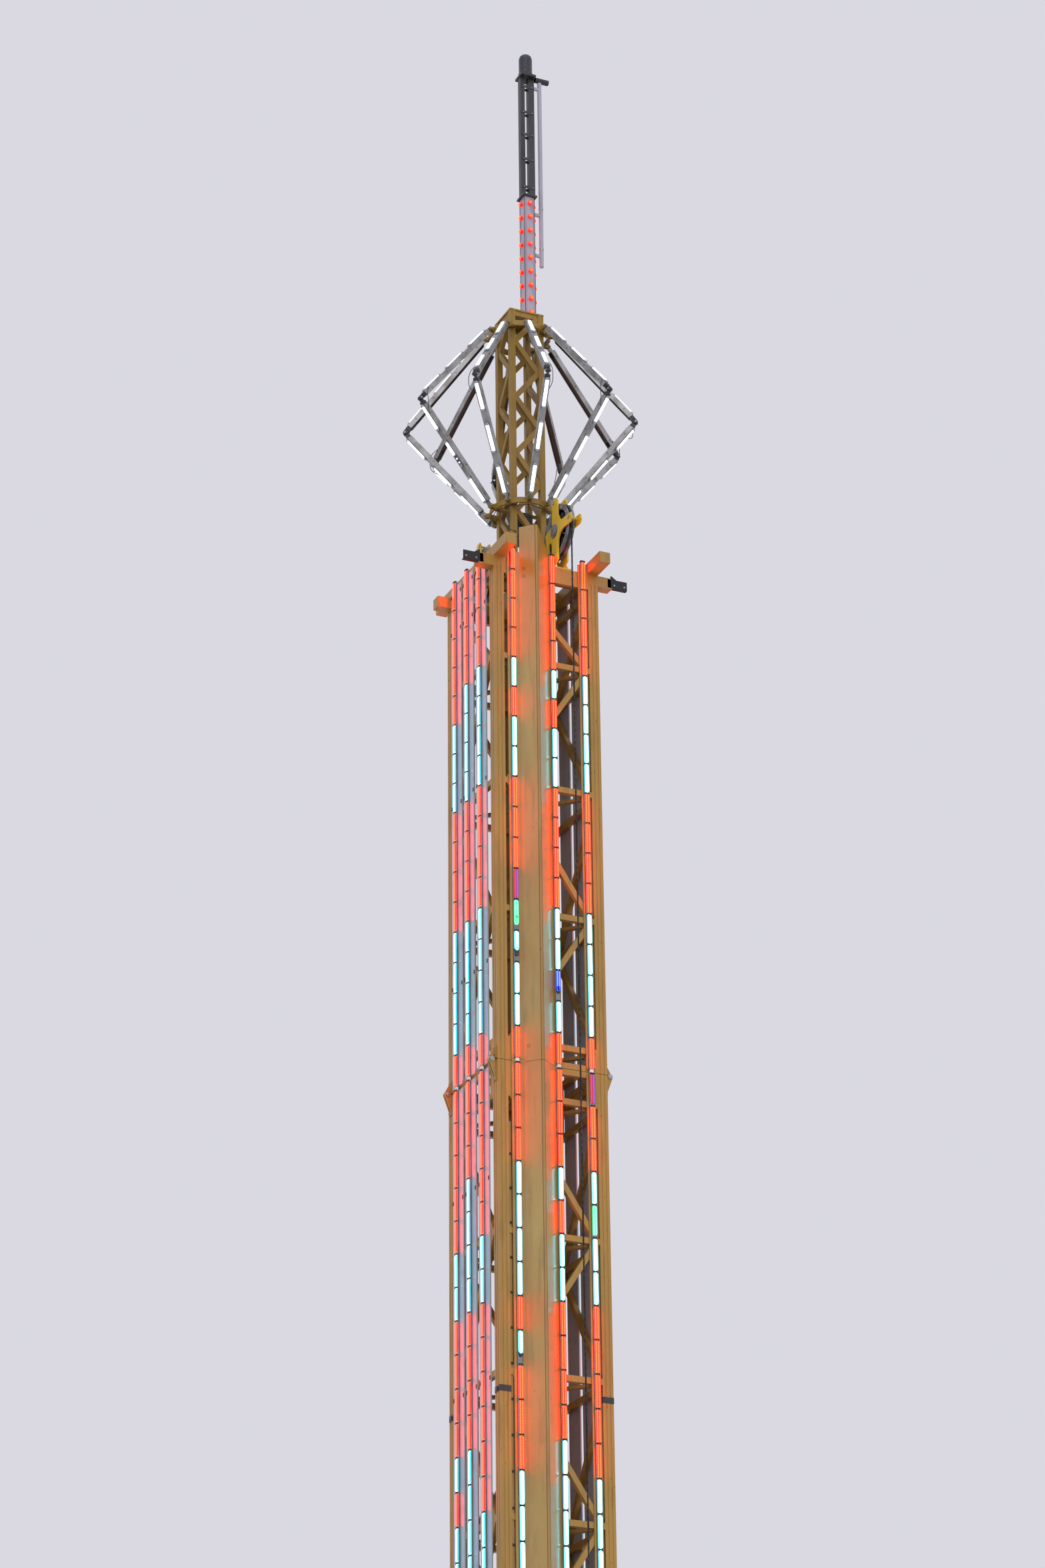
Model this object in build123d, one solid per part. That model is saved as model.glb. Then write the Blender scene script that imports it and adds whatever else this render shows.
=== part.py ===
from build123d import *
import os
from math import atan2, degrees, sin, sqrt

# Drop tower ride as a 1:2 scale model: every size below is half the real one, in millimetres.
# +Z is up, -Y is the front face with the big guide rail, +X is to its right.
# The origin is the underside centre of the foot flange, at ground level.

# Tower body
tower_side = 890.0          # outside of the corner columns, 1.78 m on the real tower
column_side = 85.0
column_wall = 6.0
column_groove_width = 9.0
column_groove_depth = 3.0
column_groove_offset = 16.0
bay_height = 1050.0
bays_between_joints = 4
bays_under_first_joint = 2
zone_above_joint = 165.0    # from a section joint up to the first full bay
zone_below_joint = 255.0    # from a section joint down to the last full bay
base_section_height = 2535.0
top_section_height = 4075.0
joint_gap = 4.0             # slit between the ends of two sections

# Foot
flange_side = 1400.0
flange_thickness = 40.0
anchor_hole_radius = 18.0
anchor_hole_edge = 70.0
gusset_height = 190.0
gusset_reach = 200.0
gusset_thickness = 14.0
gusset_toe = 24.0

# Lattice
chord_height = 46.0
bar_depth = 40.0
diagonal_width = 42.0
plan_brace_width = 36.0
plan_brace_depth = 24.0

# Faces: backing boards, light strips and guide rails
board_thickness = 10.0
board_rise = 150.0          # above the column tops
board_bottom = 300.0
side_board_width = 190.0
side_board_places = (-210.0, 27.5, 255.0)
carrier_left = -336.0       # plate behind the guide rail and the two strips beside it
carrier_right = 72.0
edge_board_width = 70.0
front_strip_places = (-295.0, 41.5, 307.0)
strip_width = 40.0
strip_depth = 15.0
strip_edge = 3.0
strip_rise = 175.0
strip_joint_gap = 35.0

rail_place = -127.0
rail_width = 212.0
rail_depth = 96.0
rail_nose = 22.0
rail_wall = 8.0
rail_slot_width = 5.0
rail_slot_depth = 4.0
rail_slot_share = 0.12
rail_rise = 370.0
rail_top_drop = 175.0       # its right-hand face is cut away down to here
rail_bottom = 300.0

# Section joints: fork and eye lugs with a cross pin, outside the columns
lug_pad_width = 50.0
lug_pad_thickness = 8.0
lug_pad_from_joint = 10.0
lug_height_above = 110.0
lug_height_below = 160.0
lug_eye_place = 34.0        # from the column's face out to the pin
lug_eye_radius = 24.0
lug_thickness = 12.0
pin_radius = 12.0
pin_head_radius = 19.0
pin_head_thickness = 7.0
fit_clearance = 0.05
slip_clearance = 0.5

# Head
head_beam_side = 90.0
cross_beam_reach = 700.0
cross_beam_cap = 140.0
side_beam_reach = 675.0
beam_wall = 7.0

# Head sheaves
sheave_place_x = 120.0
sheave_place_y = -450.0
sheave_rise = 315.0          # axle above the cross beam that carries it
sheave_radius = 226.0
sheave_width = 56.0
sheave_web = 18.0
sheave_rim_depth = 34.0
sheave_hub_radius = 62.0
sheave_window_radius = 34.0
sheave_window_circle = 124.0
sheave_windows = 6
groove_depth = 16.0
axle_radius = 30.0
cheek_thickness = 12.0
cheek_gap = 6.0
cheek_foot_thickness = 12.0
cheek_edge = (               # the cheek's outline from its front foot, (Y, Z) from the axle
    (-60.0, -170.0), (-66.0, -104.0), (-97.0, -62.0), (-157.0, -46.0), (-290.0, -56.0),
    (-315.0, -28.0), (-297.0, 24.0), (-115.0, 40.0), (-66.0, 118.0), (-60.0, 252.0),
    (-34.0, 285.0), (12.0, 285.0), (31.0, 240.0), (43.0, 58.0), (164.0, 33.0), (150.0, -60.0),
    (135.0, -200.0),
)
cheek_toe = 33.0             # the front edge turns in this far above the foot
cheek_heel_y = 90.0
cheek_slot_place = (80.0, -150.0)
cheek_slot_length = 100.0
cheek_slot_radius = 28.0
guard_places = ((6.0, 251.0), (-257.0, -3.0))
guard_radius = 9.0
guard_end = 6.0              # a guard rod's nut stands this far out of the cheek
stiffener_width = 60.0
stiffener_height = 100.0
stiffener_thickness = 10.0
axle_head_radius = 44.0
axle_head_thickness = 10.0

# Hoist ropes
rope_radius = 6.5
rope_groove_clearance = 1.0
socket_radius = 20.0
socket_height = 130.0
socket_base_side = 56.0
socket_base_thickness = 14.0

# Lantern
arm_count = 10
arm_turn = 7.0               # the arms stand a little round from the posts' square
post_side = 46.0
post_place = 125.0
post_height = 2360.0
lantern_base_height = 60.0
brace_width = 44.0
brace_depth = 34.0
brace_bays = 9
top_hinge_radius = 275.0
top_hinge_drop = 155.0       # below the post tops
knee_radius = 927.0
knee_rise = 790.0            # above the low hinges
low_hinge_radius = 285.0
low_hinge_rise = 580.0       # above the head beams
ring_band = 46.0
ring_thickness = 14.0
ring_inset = 34.0           # ring's outside to the hinge circle
ring_spoke_width = 30.0
ring_spoke_depth = 22.0
arm_width = 52.0
arm_depth = 42.0
arm_wall = 5.0
arm_eye_radius = 17.0
arm_eye_thickness = 14.0
arm_end_setback = 46.0
ear_thickness = 8.0
ear_gap = 1.0
hinge_pin_radius = 8.0
knuckle_length = 60.0
light_bar_length = 246.0
light_bar_width = 36.0
light_bar_depth = 14.0
light_bar_pitch = 340.0
light_bars_per_arm = 3

box_width = 140.0            # dark box that hangs inside the lantern's foot
box_depth = 130.0
box_height = 270.0
box_corner = 14.0
box_hanger_width = 26.0
box_hanger_height = 24.0

# Mast
mast_place_x = 84.0
mast_side = 90.0
mast_groove = 12.0
mast_groove_depth = 5.0
mast_height = 1176.0
mast_foot_side = 300.0
mast_foot_thickness = 14.0
lamp_radius = 15.0
lamp_depth = 10.0
lamp_count = 9
mast_plate_side = 128.0
mast_plate_thickness = 16.0
mast_wall = 6.0
twin_widths = (40.0, 52.0)
twin_depth = 46.0
twin_spacing = 80.0
twin_height = 1169.0
top_plate_side = 132.0
top_plate_thickness = 20.0
pole_radius = 18.0
pole_place = 125.0          # from the mast's centre
pole_height = 1798.0
pole_drop = 10.0            # below the upper mast's top
pole_clip_width = 20.0
pole_clip_height = 24.0
pole_clip_lamps = (4, 7)    # a clip sits half a pitch above each of these lamps
pole_clip_drop = 75.0
beacon_radius = 56.0
beacon_foot_radius = 62.0
beacon_foot_height = 26.0
beacon_height = 215.0
beacon_shoulder = 18.0
cross_tube_radius = 24.0
cross_tube_length = 120.0
cross_tube_place = 145.0

cut_overrun = 1.0
small_round_sides = 8        # small repeated rounds are prisms, to keep the facets few
fair_round_sides = 16        # rounds that show on their own
wheel_sides = 36

half = tower_side / 2
column_place = half - column_side / 2
panel_half = half - column_side
head_beam_place = half - head_beam_side / 2
section_length = bays_between_joints * bay_height + zone_above_joint + zone_below_joint
joints = tuple(base_section_height + n * section_length for n in range(3))
column_top = joints[-1] + top_section_height
head_top = column_top + 2 * head_beam_side
board_top = column_top + board_rise
strip_top = column_top + strip_rise
rail_top = column_top + rail_rise
sheave_height = column_top + head_beam_side + sheave_rise
sheave_centre = (sheave_place_x, sheave_place_y, sheave_height)
rope_bend = sheave_radius - groove_depth + rope_groove_clearance + rope_radius
post_top = head_top + post_height
top_hinge = (top_hinge_radius, 0, post_top - top_hinge_drop)
low_hinge = (low_hinge_radius, 0, head_top + low_hinge_rise)
knee = (knee_radius, 0, low_hinge[2] + knee_rise)
box_top = low_hinge[2] - box_hanger_height / 2
mast_bottom = post_top + mast_foot_thickness
mast_top = mast_bottom + mast_height
upper_mast_top = mast_top + mast_plate_thickness + twin_height
pole_top = upper_mast_top - pole_drop
section_bottoms = (flange_thickness, *(z + joint_gap / 2 for z in joints))
section_tops = (*(z - joint_gap / 2 for z in joints), column_top)
sections = tuple(zip(section_bottoms, section_tops))

os.makedirs("parts", exist_ok=True)


def write(name, solids):
    shape = Compound(children=list(solids)) if isinstance(solids, (list, tuple)) else solids
    export_step(shape, f"parts/{name}.step")


def prism(profile, bottom, top):
    return extrude(Pos(0, 0, bottom) * profile, amount=top - bottom)


def block(x0, x1, y0, y1, z0, z1):
    return prism(Pos((x0 + x1) / 2, (y0 + y1) / 2) * Rectangle(x1 - x0, y1 - y0), z0, z1)


def beam(start, end, profile, across):
    start, end = Vector(*start), Vector(*end)
    plane = Plane(origin=start, x_dir=Vector(*across), z_dir=end - start)
    return extrude(plane * profile, amount=(end - start).length)


def turned(shape, angle):
    return shape.rotate(Axis.Z, angle)


def small_round(radius):
    return RegularPolygon(radius, small_round_sides, major_radius=True)


def small_hole(radius):
    hole = RegularPolygon(radius, small_round_sides, major_radius=False)
    return Rot(0, 0, 180 / small_round_sides) * hole


def fair_round(radius):
    return RegularPolygon(radius, fair_round_sides, major_radius=True)


def fair_hole(radius):
    hole = RegularPolygon(radius, fair_round_sides, major_radius=False)
    return Rot(0, 0, 180 / fair_round_sides) * hole


def rod(profile, length):
    return extrude(profile, amount=length / 2, both=True)


# Foot flange with its anchor holes, and the gussets that stiffen the column feet
def foot_flange():
    plate = prism(Rectangle(flange_side, flange_side), 0, flange_thickness)
    place = flange_side / 2 - anchor_hole_edge
    for x in (-place, place):
        for y in (-place, place):
            plate -= prism(
                Pos(x, y) * Circle(anchor_hole_radius), -cut_overrun, flange_thickness + cut_overrun
            )
    return plate


def foot_gusset():
    outline = Polyline(
        (0, 0), (gusset_reach, 0), (gusset_reach, gusset_toe), (gusset_toe, gusset_height),
        (0, gusset_height), close=True,
    )
    plane = Plane(
        origin=(half, column_place + gusset_thickness / 2, flange_thickness),
        x_dir=(1, 0, 0), z_dir=(0, -1, 0),
    )
    return extrude(plane * make_face(outline), amount=gusset_thickness)


def foot_gussets():
    one = foot_gusset()
    pair = (one, mirror(one, Plane.XZ))
    return [turned(g, quarter) for quarter in (0, 90, 180, 270) for g in pair]


# Corner columns: grooved square tubes, one solid a section
def column(section):
    bottom, top = section
    inside = column_side - 2 * column_wall
    profile = Rectangle(column_side, column_side) - Rectangle(inside, inside)
    for place in (-column_groove_offset, column_groove_offset):
        edge = column_side / 2 - column_groove_depth / 2
        profile -= Pos(place, -edge) * Rectangle(column_groove_width, column_groove_depth)
        profile -= Pos(-edge, place) * Rectangle(column_groove_depth, column_groove_width)
    return prism(Pos(-column_place, -column_place) * profile, bottom, top)


def columns(quarter):
    return [turned(column(s), quarter) for s in sections]


# Lattice sides: chords and one diagonal a bay, alternating
def chord_levels(index):
    bottom, top = sections[index]
    levels = []
    if index == 0:
        last = joints[0] - zone_below_joint
        levels = [last - n * bay_height for n in range(bays_under_first_joint, -1, -1)]
        return levels + [top - chord_height / 2]
    first = joints[index - 1] + zone_above_joint
    if index < len(joints):
        levels = [first + n * bay_height for n in range(bays_between_joints + 1)]
        return [bottom + chord_height / 2] + levels + [top - chord_height / 2]
    levels = [first + n * bay_height for n in range(bays_between_joints)]
    return [bottom + chord_height / 2] + levels + [top - chord_height / 2]


def lattice_section(index):
    levels = chord_levels(index)
    middle = -half + bar_depth / 2
    chord = Rectangle(bar_depth, chord_height)
    solid = None
    for z in levels:
        bar = block(-panel_half, panel_half, -half, -half + bar_depth, z - chord_height / 2,
                    z + chord_height / 2)
        solid = bar if solid is None else solid + bar
    side = 1
    for low, high in zip(levels, levels[1:]):
        if high - low < bay_height / 2:
            for x in (-panel_half + chord_height / 2, panel_half - chord_height / 2):
                solid += beam((x, middle, low), (x, middle, high), chord, (0, 1, 0))
            continue
        start = (-side * (panel_half - diagonal_width / 2), middle, low)
        end = (side * (panel_half - diagonal_width / 2), middle, high)
        solid += beam(start, end, Rectangle(bar_depth, diagonal_width), (0, 1, 0))
        side = -side
    limits = block(-panel_half, panel_half, -half, -half + bar_depth, levels[0] - chord_height / 2,
                   levels[-1] + chord_height / 2)
    return solid & limits


def lattice(quarter):
    return [turned(lattice_section(i), quarter) for i in range(len(sections))]


# Crossed braces in plan, at the chord levels
def plan_brace(z):
    corner = panel_half
    profile = Rectangle(plan_brace_depth, plan_brace_width)
    one = beam((-corner, -corner, z), (corner, corner, z), profile, (0, 0, 1))
    two = beam((-corner, corner, z), (corner, -corner, z), profile, (0, 0, 1))
    room = half - bar_depth
    limits = block(-room, room, -room, room, z - plan_brace_depth, z + plan_brace_depth)
    for x in (-1, 1):
        for y in (-1, 1):
            limits -= block(
                min(x * panel_half, x * half), max(x * panel_half, x * half),
                min(y * panel_half, y * half), max(y * panel_half, y * half),
                z - 2 * plan_brace_depth, z + 2 * plan_brace_depth,
            )
    return (one + two) & limits


def plan_brace_levels():
    levels = []
    for index in range(len(sections)):
        levels += chord_levels(index)[1 if index else 0:-1]
    return levels


# Faces
def face_spans(bottom, top):
    edges = [bottom]
    for z in joints:
        edges += [z - strip_joint_gap / 2, z + strip_joint_gap / 2]
    edges.append(top)
    return list(zip(edges[0::2], edges[1::2]))


def side_boards(quarter):
    spans = face_spans(board_bottom, board_top)
    boards = []
    for place in side_board_places:
        for low, high in spans:
            boards.append(block(-half - board_thickness, -half, place - side_board_width / 2,
                                place + side_board_width / 2, low, high))
    return [turned(b, quarter) for b in boards]


def rail_carrier(quarter):
    spans = face_spans(board_bottom, board_top)
    plates = []
    edge = front_strip_places[2]
    for low, high in spans:
        plates.append(block(carrier_left, carrier_right, -half - board_thickness, -half, low, high))
        plates.append(block(edge - edge_board_width / 2, edge + edge_board_width / 2,
                            -half - board_thickness, -half, low, high))
    return [turned(p, quarter) for p in plates]


def strip_profile():
    housing = Rectangle(strip_width, strip_depth, align=(Align.CENTER, Align.MAX))
    for x in (-strip_width / 2, strip_width / 2):
        housing -= Pos(x, -strip_depth) * Rectangle(2 * strip_edge, 2 * strip_edge, rotation=45)
    return housing


def front_strips(quarter):
    strips = []
    for place in front_strip_places:
        for low, high in face_spans(board_bottom, strip_top):
            strips.append(prism(Pos(place, -half - board_thickness) * strip_profile(), low, high))
    return [turned(s, quarter) for s in strips]


def side_strips(quarter):
    strips = []
    for place in side_board_places:
        for low, high in face_spans(board_bottom, strip_top):
            strip = prism(Pos(-place, -half - board_thickness) * strip_profile(), low, high)
            strips.append(turned(strip, -90))
    return [turned(s, quarter) for s in strips]


def rail_profile():
    nose, wide = rail_nose / 2, rail_width / 2
    outline = make_face(Polyline((-wide, 0), (-nose, -rail_depth), (nose, -rail_depth), (wide, 0),
                                 close=True))
    inner = rail_wall / sin(atan2(rail_depth, wide - nose))
    hollow = make_face(Polyline((-wide + inner, 0), (-nose, -rail_depth + rail_wall),
                                (nose, -rail_depth + rail_wall), (wide - inner, 0), close=True))
    profile = outline - hollow
    slope = degrees(atan2(rail_depth, wide - nose))
    for side in (-1, 1):
        x = side * (nose + rail_slot_share * (wide - nose))
        y = -rail_depth * (1 - rail_slot_share)
        profile -= Pos(x, y) * Rot(0, 0, -side * slope) * Rectangle(rail_slot_width,
                                                                    2 * rail_slot_depth)
    return profile


def guide_rail(quarter):
    back = -half - board_thickness
    rails = []
    for low, high in face_spans(rail_bottom, rail_top):
        rails.append(prism(Pos(rail_place, back) * rail_profile(), low, high))
    nose = rail_place + rail_nose / 2
    edge = rail_place + rail_width / 2
    wedge = make_face(Polyline(
        (nose, rail_top), (edge, rail_top - rail_top_drop), (edge + cut_overrun, rail_top), close=True
    ))
    plane = Plane(origin=(0, back + cut_overrun, 0), x_dir=(1, 0, 0), z_dir=(0, -1, 0))
    rails[-1] -= extrude(plane * wedge, amount=rail_depth + 2 * cut_overrun)
    return [turned(r, quarter) for r in rails]


# Section joints: an eye above, a fork below and a pin across, on the outside of each column
def lug_plate(height_sign, height):
    pad = lug_pad_from_joint
    near, far = height_sign * pad, height_sign * height
    outline = make_hull(
        (Pos(lug_eye_place, 0) * small_round(lug_eye_radius)).edges()
        + Line((0, near), (0, far)).edges()
    )
    hole = Pos(lug_eye_place, 0) * small_hole(pin_radius + fit_clearance)
    limits = Pos(lug_eye_place / 2, 0) * Rectangle(
        3 * lug_eye_place, 2 * (lug_height_above + lug_height_below)
    )
    return (outline - hole) & limits


def lug(profile, places, pad_low, pad_high):
    solid = block(0, lug_pad_thickness, -lug_pad_width / 2, lug_pad_width / 2, pad_low, pad_high)
    for place in places:
        plane = Plane(origin=(0, place + lug_thickness / 2, 0), x_dir=(1, 0, 0), z_dir=(0, -1, 0))
        solid += extrude(plane * profile, amount=lug_thickness)
    return solid


def section_lugs(z):
    step = lug_thickness + slip_clearance
    eye = lug(lug_plate(1, lug_height_above), (0,), lug_pad_from_joint, lug_height_above)
    fork = lug(lug_plate(-1, lug_height_below), (-step, step), -lug_height_below,
               -lug_pad_from_joint)
    clear = lug_eye_radius + slip_clearance
    eye_room = Pos(lug_eye_place, 0, 0) * Rot(90, 0, 0) * rod(small_hole(clear), lug_thickness)
    lugs = []
    for y in (-column_place, column_place):
        for solid in (eye, fork - eye_room):
            right = Pos(half, y, z) * solid
            lugs += [right, mirror(right, Plane.YZ)]
    return lugs


def section_pins():
    reach = 3 * lug_thickness / 2 + slip_clearance
    shaft = rod(small_round(pin_radius), 2 * (reach + pin_head_thickness))
    head = rod(small_round(pin_head_radius), pin_head_thickness)
    offset = reach + pin_head_thickness / 2 + fit_clearance
    pin = shaft + Pos(0, 0, offset) * head + Pos(0, 0, -offset) * head
    pin = Rot(90, 0, 0) * pin
    place = half + lug_eye_place
    return [Pos(x, y, z) * pin for z in joints for x in (-place, place)
            for y in (-column_place, column_place)]


# Head frame
def hollow_beam(start, end, across):
    inside = head_beam_side - 2 * beam_wall
    profile = Rectangle(head_beam_side, head_beam_side) - Rectangle(inside, inside)
    return beam(start, end, profile, across)


def head_cross_beams():
    z = column_top + head_beam_side / 2
    reach = cross_beam_reach - cross_beam_cap
    return [hollow_beam((-reach, y, z), (reach, y, z), (0, 1, 0))
            for y in (-head_beam_place, head_beam_place)]


def cross_beam_caps():
    z = column_top + head_beam_side / 2
    caps = []
    for y in (-head_beam_place, head_beam_place):
        for side in (-1, 1):
            start = (side * (cross_beam_reach - cross_beam_cap), y, z)
            end = (side * cross_beam_reach, y, z)
            caps.append(beam(start, end, Rectangle(head_beam_side, head_beam_side), (0, 1, 0)))
    return caps


def head_side_beams():
    z = head_top - head_beam_side / 2
    lid = Rectangle(head_beam_side, head_beam_side)
    beams = []
    for x in (-head_beam_place, head_beam_place):
        solid = hollow_beam((x, -side_beam_reach, z), (x, side_beam_reach, z), (1, 0, 0))
        for side in (-1, 1):
            edge = side * side_beam_reach
            solid += beam((x, edge, z), (x, edge - side * beam_wall, z), lid, (1, 0, 0))
        beams.append(solid)
    return beams


# Beams under the lantern, between the side beams
def lantern_base():
    reach = head_beam_place - head_beam_side / 2
    return [block(-reach, reach, y - post_side / 2, y + post_side / 2,
                  head_top - lantern_base_height, head_top) for y in (-post_place, post_place)]


# Head sheaves: a grooved wheel on a fixed axle between two cheek plates
def wheel_body(*stations):
    """A flat-sided round body through stations of height and radius."""
    return loft([Pos(0, 0, height) * RegularPolygon(radius, wheel_sides, major_radius=True)
                 for height, radius in stations], ruled=True)


def sheave_wheel():
    half_width = sheave_width / 2
    half_web = sheave_web / 2
    groove_bottom = sheave_radius - groove_depth
    groove = rope_radius + rope_groove_clearance
    flare = half_width - half_web / 2
    wheel = wheel_body(
        (-half_width, sheave_radius), (-flare, sheave_radius), (-groove, groove_bottom),
        (groove, groove_bottom), (flare, sheave_radius), (half_width, sheave_radius),
    )
    rim_inside = groove_bottom - sheave_rim_depth
    recess = wheel_body(
        (half_web, rim_inside), (half_width, rim_inside + sheave_web),
        (half_width + cut_overrun, rim_inside + sheave_web),
    )
    for face in (recess, mirror(recess, Plane.XY)):
        wheel -= face
    wheel += rod(fair_round(sheave_hub_radius), sheave_width)
    wheel -= rod(fair_hole(axle_radius + fit_clearance), sheave_width + 2 * cut_overrun)
    window = Pos(sheave_window_circle, 0, 0) * rod(fair_round(sheave_window_radius), sheave_width)
    for n in range(sheave_windows):
        wheel -= turned(window, n * 360 / sheave_windows)
    return Pos(*sheave_centre) * Rot(0, 90, 0) * wheel


def cheek_outline():
    foot = cheek_foot_thickness - sheave_rise
    beam_front = -half - sheave_place_y
    outline = make_face(Polyline(
        (beam_front, foot), (cheek_edge[0][0], foot + cheek_toe), *cheek_edge,
        (cheek_heel_y, foot), close=True,
    ))
    outline -= Pos(*cheek_slot_place) * Rot(0, 0, 90) * SlotCenterToCenter(
        cheek_slot_length, 2 * cheek_slot_radius)
    return outline - fair_hole(axle_radius + fit_clearance)


def cheek_stiffener(x, side):
    foot = column_top + head_beam_side + cheek_foot_thickness
    outline = make_face(Polyline(
        (x, foot), (x + side * stiffener_width, foot), (x, foot + stiffener_height), close=True
    ))
    plane = Plane(origin=(0, -head_beam_place + stiffener_thickness / 2, 0), x_dir=(1, 0, 0),
                  z_dir=(0, -1, 0))
    return extrude(plane * outline, amount=stiffener_thickness)


def sheave_cheeks():
    inner = sheave_width / 2 + cheek_gap
    outer = inner + cheek_thickness
    foot = column_top + head_beam_side
    reach = outer + stiffener_width
    solid = block(sheave_place_x - reach, sheave_place_x + reach, -half, -half + head_beam_side,
                  foot, foot + cheek_foot_thickness)
    for x in (-outer, inner):
        plane = Plane(origin=(sheave_place_x + x, sheave_place_y, sheave_height),
                      x_dir=(0, 1, 0), z_dir=(1, 0, 0))
        solid += extrude(plane * cheek_outline(), amount=cheek_thickness)
    for side in (-1, 1):
        solid += cheek_stiffener(sheave_place_x + side * outer, side)
    for y, z in guard_places:
        place = (sheave_place_x, sheave_place_y + y, sheave_height + z)
        solid += Pos(*place) * Rot(0, 90, 0) * rod(small_round(guard_radius),
                                                   2 * (outer + guard_end))
    return solid


def sheave_axle():
    reach = sheave_width / 2 + cheek_gap + cheek_thickness
    shaft = rod(fair_round(axle_radius), 2 * reach)
    head = rod(fair_round(axle_head_radius), axle_head_thickness)
    offset = reach + axle_head_thickness / 2
    axle = shaft + Pos(0, 0, offset) * head + Pos(0, 0, -offset) * head
    return Pos(*sheave_centre) * Rot(0, 90, 0) * axle


# Hoist ropes: up the outside, over the sheave and down inside the tower. Each run and the bend
# is a solid of its own, so that the space between the runs stays open to collision.
def hoist_rope():
    low = flange_thickness + socket_base_thickness + socket_height
    front, back = sheave_place_y - rope_bend, sheave_place_y + rope_bend
    profile = small_round(rope_radius)
    runs = [prism(Pos(sheave_place_x, y) * profile, low, sheave_height) for y in (front, back)]
    section = Pos(sheave_place_x, front, sheave_height) * profile
    return runs + [revolve(section, Axis(sheave_centre, (-1, 0, 0)), revolution_arc=180)]


def rope_sockets():
    sockets = []
    for y in (sheave_place_y - rope_bend, sheave_place_y + rope_bend):
        base = Pos(sheave_place_x, y) * Rectangle(socket_base_side, socket_base_side)
        top = flange_thickness + socket_base_thickness
        socket = prism(base, flange_thickness, top)
        ends = [Pos(sheave_place_x, y, top) * small_round(socket_radius),
                Pos(sheave_place_x, y, top + socket_height) * small_round(2 * rope_radius)]
        socket += loft(ends)
        sockets += [socket, turned(socket, 180)]
    return sockets


# Lantern: four posts, two hinge rings and ten folding arms
def lantern_posts():
    inside = post_side - 2 * arm_wall
    profile = Rectangle(post_side, post_side) - Rectangle(inside, inside)
    return [prism(Pos(x, y) * profile, head_top, post_top)
            for x in (-post_place, post_place) for y in (-post_place, post_place)]


def lantern_brace_panel():
    bottom = head_top + brace_width / 2
    pitch = (post_top - bottom - brace_width / 2) / brace_bays
    levels = [bottom + n * pitch for n in range(brace_bays + 1)]
    reach = post_place - post_side / 2
    low_bar, high_bar = (block(-reach, reach, -post_place - brace_depth / 2,
                               -post_place + brace_depth / 2, z - brace_width / 2,
                               z + brace_width / 2) for z in (levels[0], levels[-1]))
    solid = low_bar
    past_post = brace_width      # a diagonal runs on past the post's face and is cut off there
    rise = past_post * pitch / (2 * reach)
    side = 1
    for low, high in zip(levels, levels[1:]):
        start = (-side * (reach + past_post), -post_place, low - rise)
        end = (side * (reach + past_post), -post_place, high + rise)
        solid += beam(start, end, Rectangle(brace_depth, brace_width), (0, 1, 0))
        side = -side
    solid += high_bar
    limits = block(-reach, reach, -post_place - brace_depth / 2, -post_place + brace_depth / 2,
                   levels[0] - brace_width / 2, levels[-1] + brace_width / 2)
    return solid & limits


def arm_angles():
    return [arm_turn + n * 360 / arm_count for n in range(arm_count)]


def clevis(hinge_radius, height, inside):
    spacing = arm_eye_thickness / 2 + ear_gap
    profile = Pos(hinge_radius, height) * small_round(arm_eye_radius)
    profile += Pos((inside + hinge_radius) / 2, height) * Rectangle(
        hinge_radius - inside, 2 * arm_eye_radius)
    profile -= Pos(hinge_radius, height) * small_hole(hinge_pin_radius + fit_clearance)
    ears = []
    for y in (spacing + ear_thickness, -spacing):
        plane = Plane(origin=(0, y, 0), x_dir=(1, 0, 0), z_dir=(0, -1, 0))
        ears.append(extrude(plane * profile, amount=ear_thickness))
    return ears


def hinge_ring(hinge, sides):
    hinge_radius, height = hinge[0], hinge[2]
    outside = hinge_radius - ring_inset
    inside = outside - ring_thickness
    band = (RegularPolygon(outside, sides, major_radius=False)
            - RegularPolygon(inside, sides, major_radius=False))
    band = Rot(0, 0, 180 / sides) * band
    ring = prism(band, height - ring_band / 2, height + ring_band / 2)
    post_face = post_place + post_side / 2
    end = sqrt(inside ** 2 - post_place ** 2) + ring_thickness / 2
    for x in (-1, 1):
        for y in (-post_place, post_place):
            spoke = block(min(x * post_face, x * end), max(x * post_face, x * end),
                          y - ring_spoke_width / 2, y + ring_spoke_width / 2,
                          height - ring_spoke_depth / 2, height + ring_spoke_depth / 2)
            ring += spoke
            ring += turned(spoke, 90)
    for angle in arm_angles():
        for ear in clevis(hinge_radius, height, inside + ring_thickness / 2):
            ring += turned(ear, angle)
    return ring


def arm_profile():
    inside = Rectangle(arm_width - 2 * arm_wall, arm_depth)
    return Rectangle(arm_width, arm_depth) - Pos(0, -arm_wall) * inside


def along(start, end, distance):
    start, end = Vector(*start), Vector(*end)
    return start + (end - start).normalized() * distance


def arm_eye(hinge, knee):
    direction = (Vector(*knee) - Vector(*hinge)).normalized()
    plane = Plane(origin=Vector(*hinge) + Vector(0, arm_eye_thickness / 2, 0),
                  x_dir=direction, z_dir=(0, -1, 0))
    length = arm_end_setback + arm_wall
    profile = small_round(arm_eye_radius)
    profile += Pos(length / 2, 0) * Rectangle(length, 2 * arm_eye_radius)
    profile -= small_hole(hinge_pin_radius + fit_clearance)
    return extrude(plane * profile, amount=arm_eye_thickness)


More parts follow.
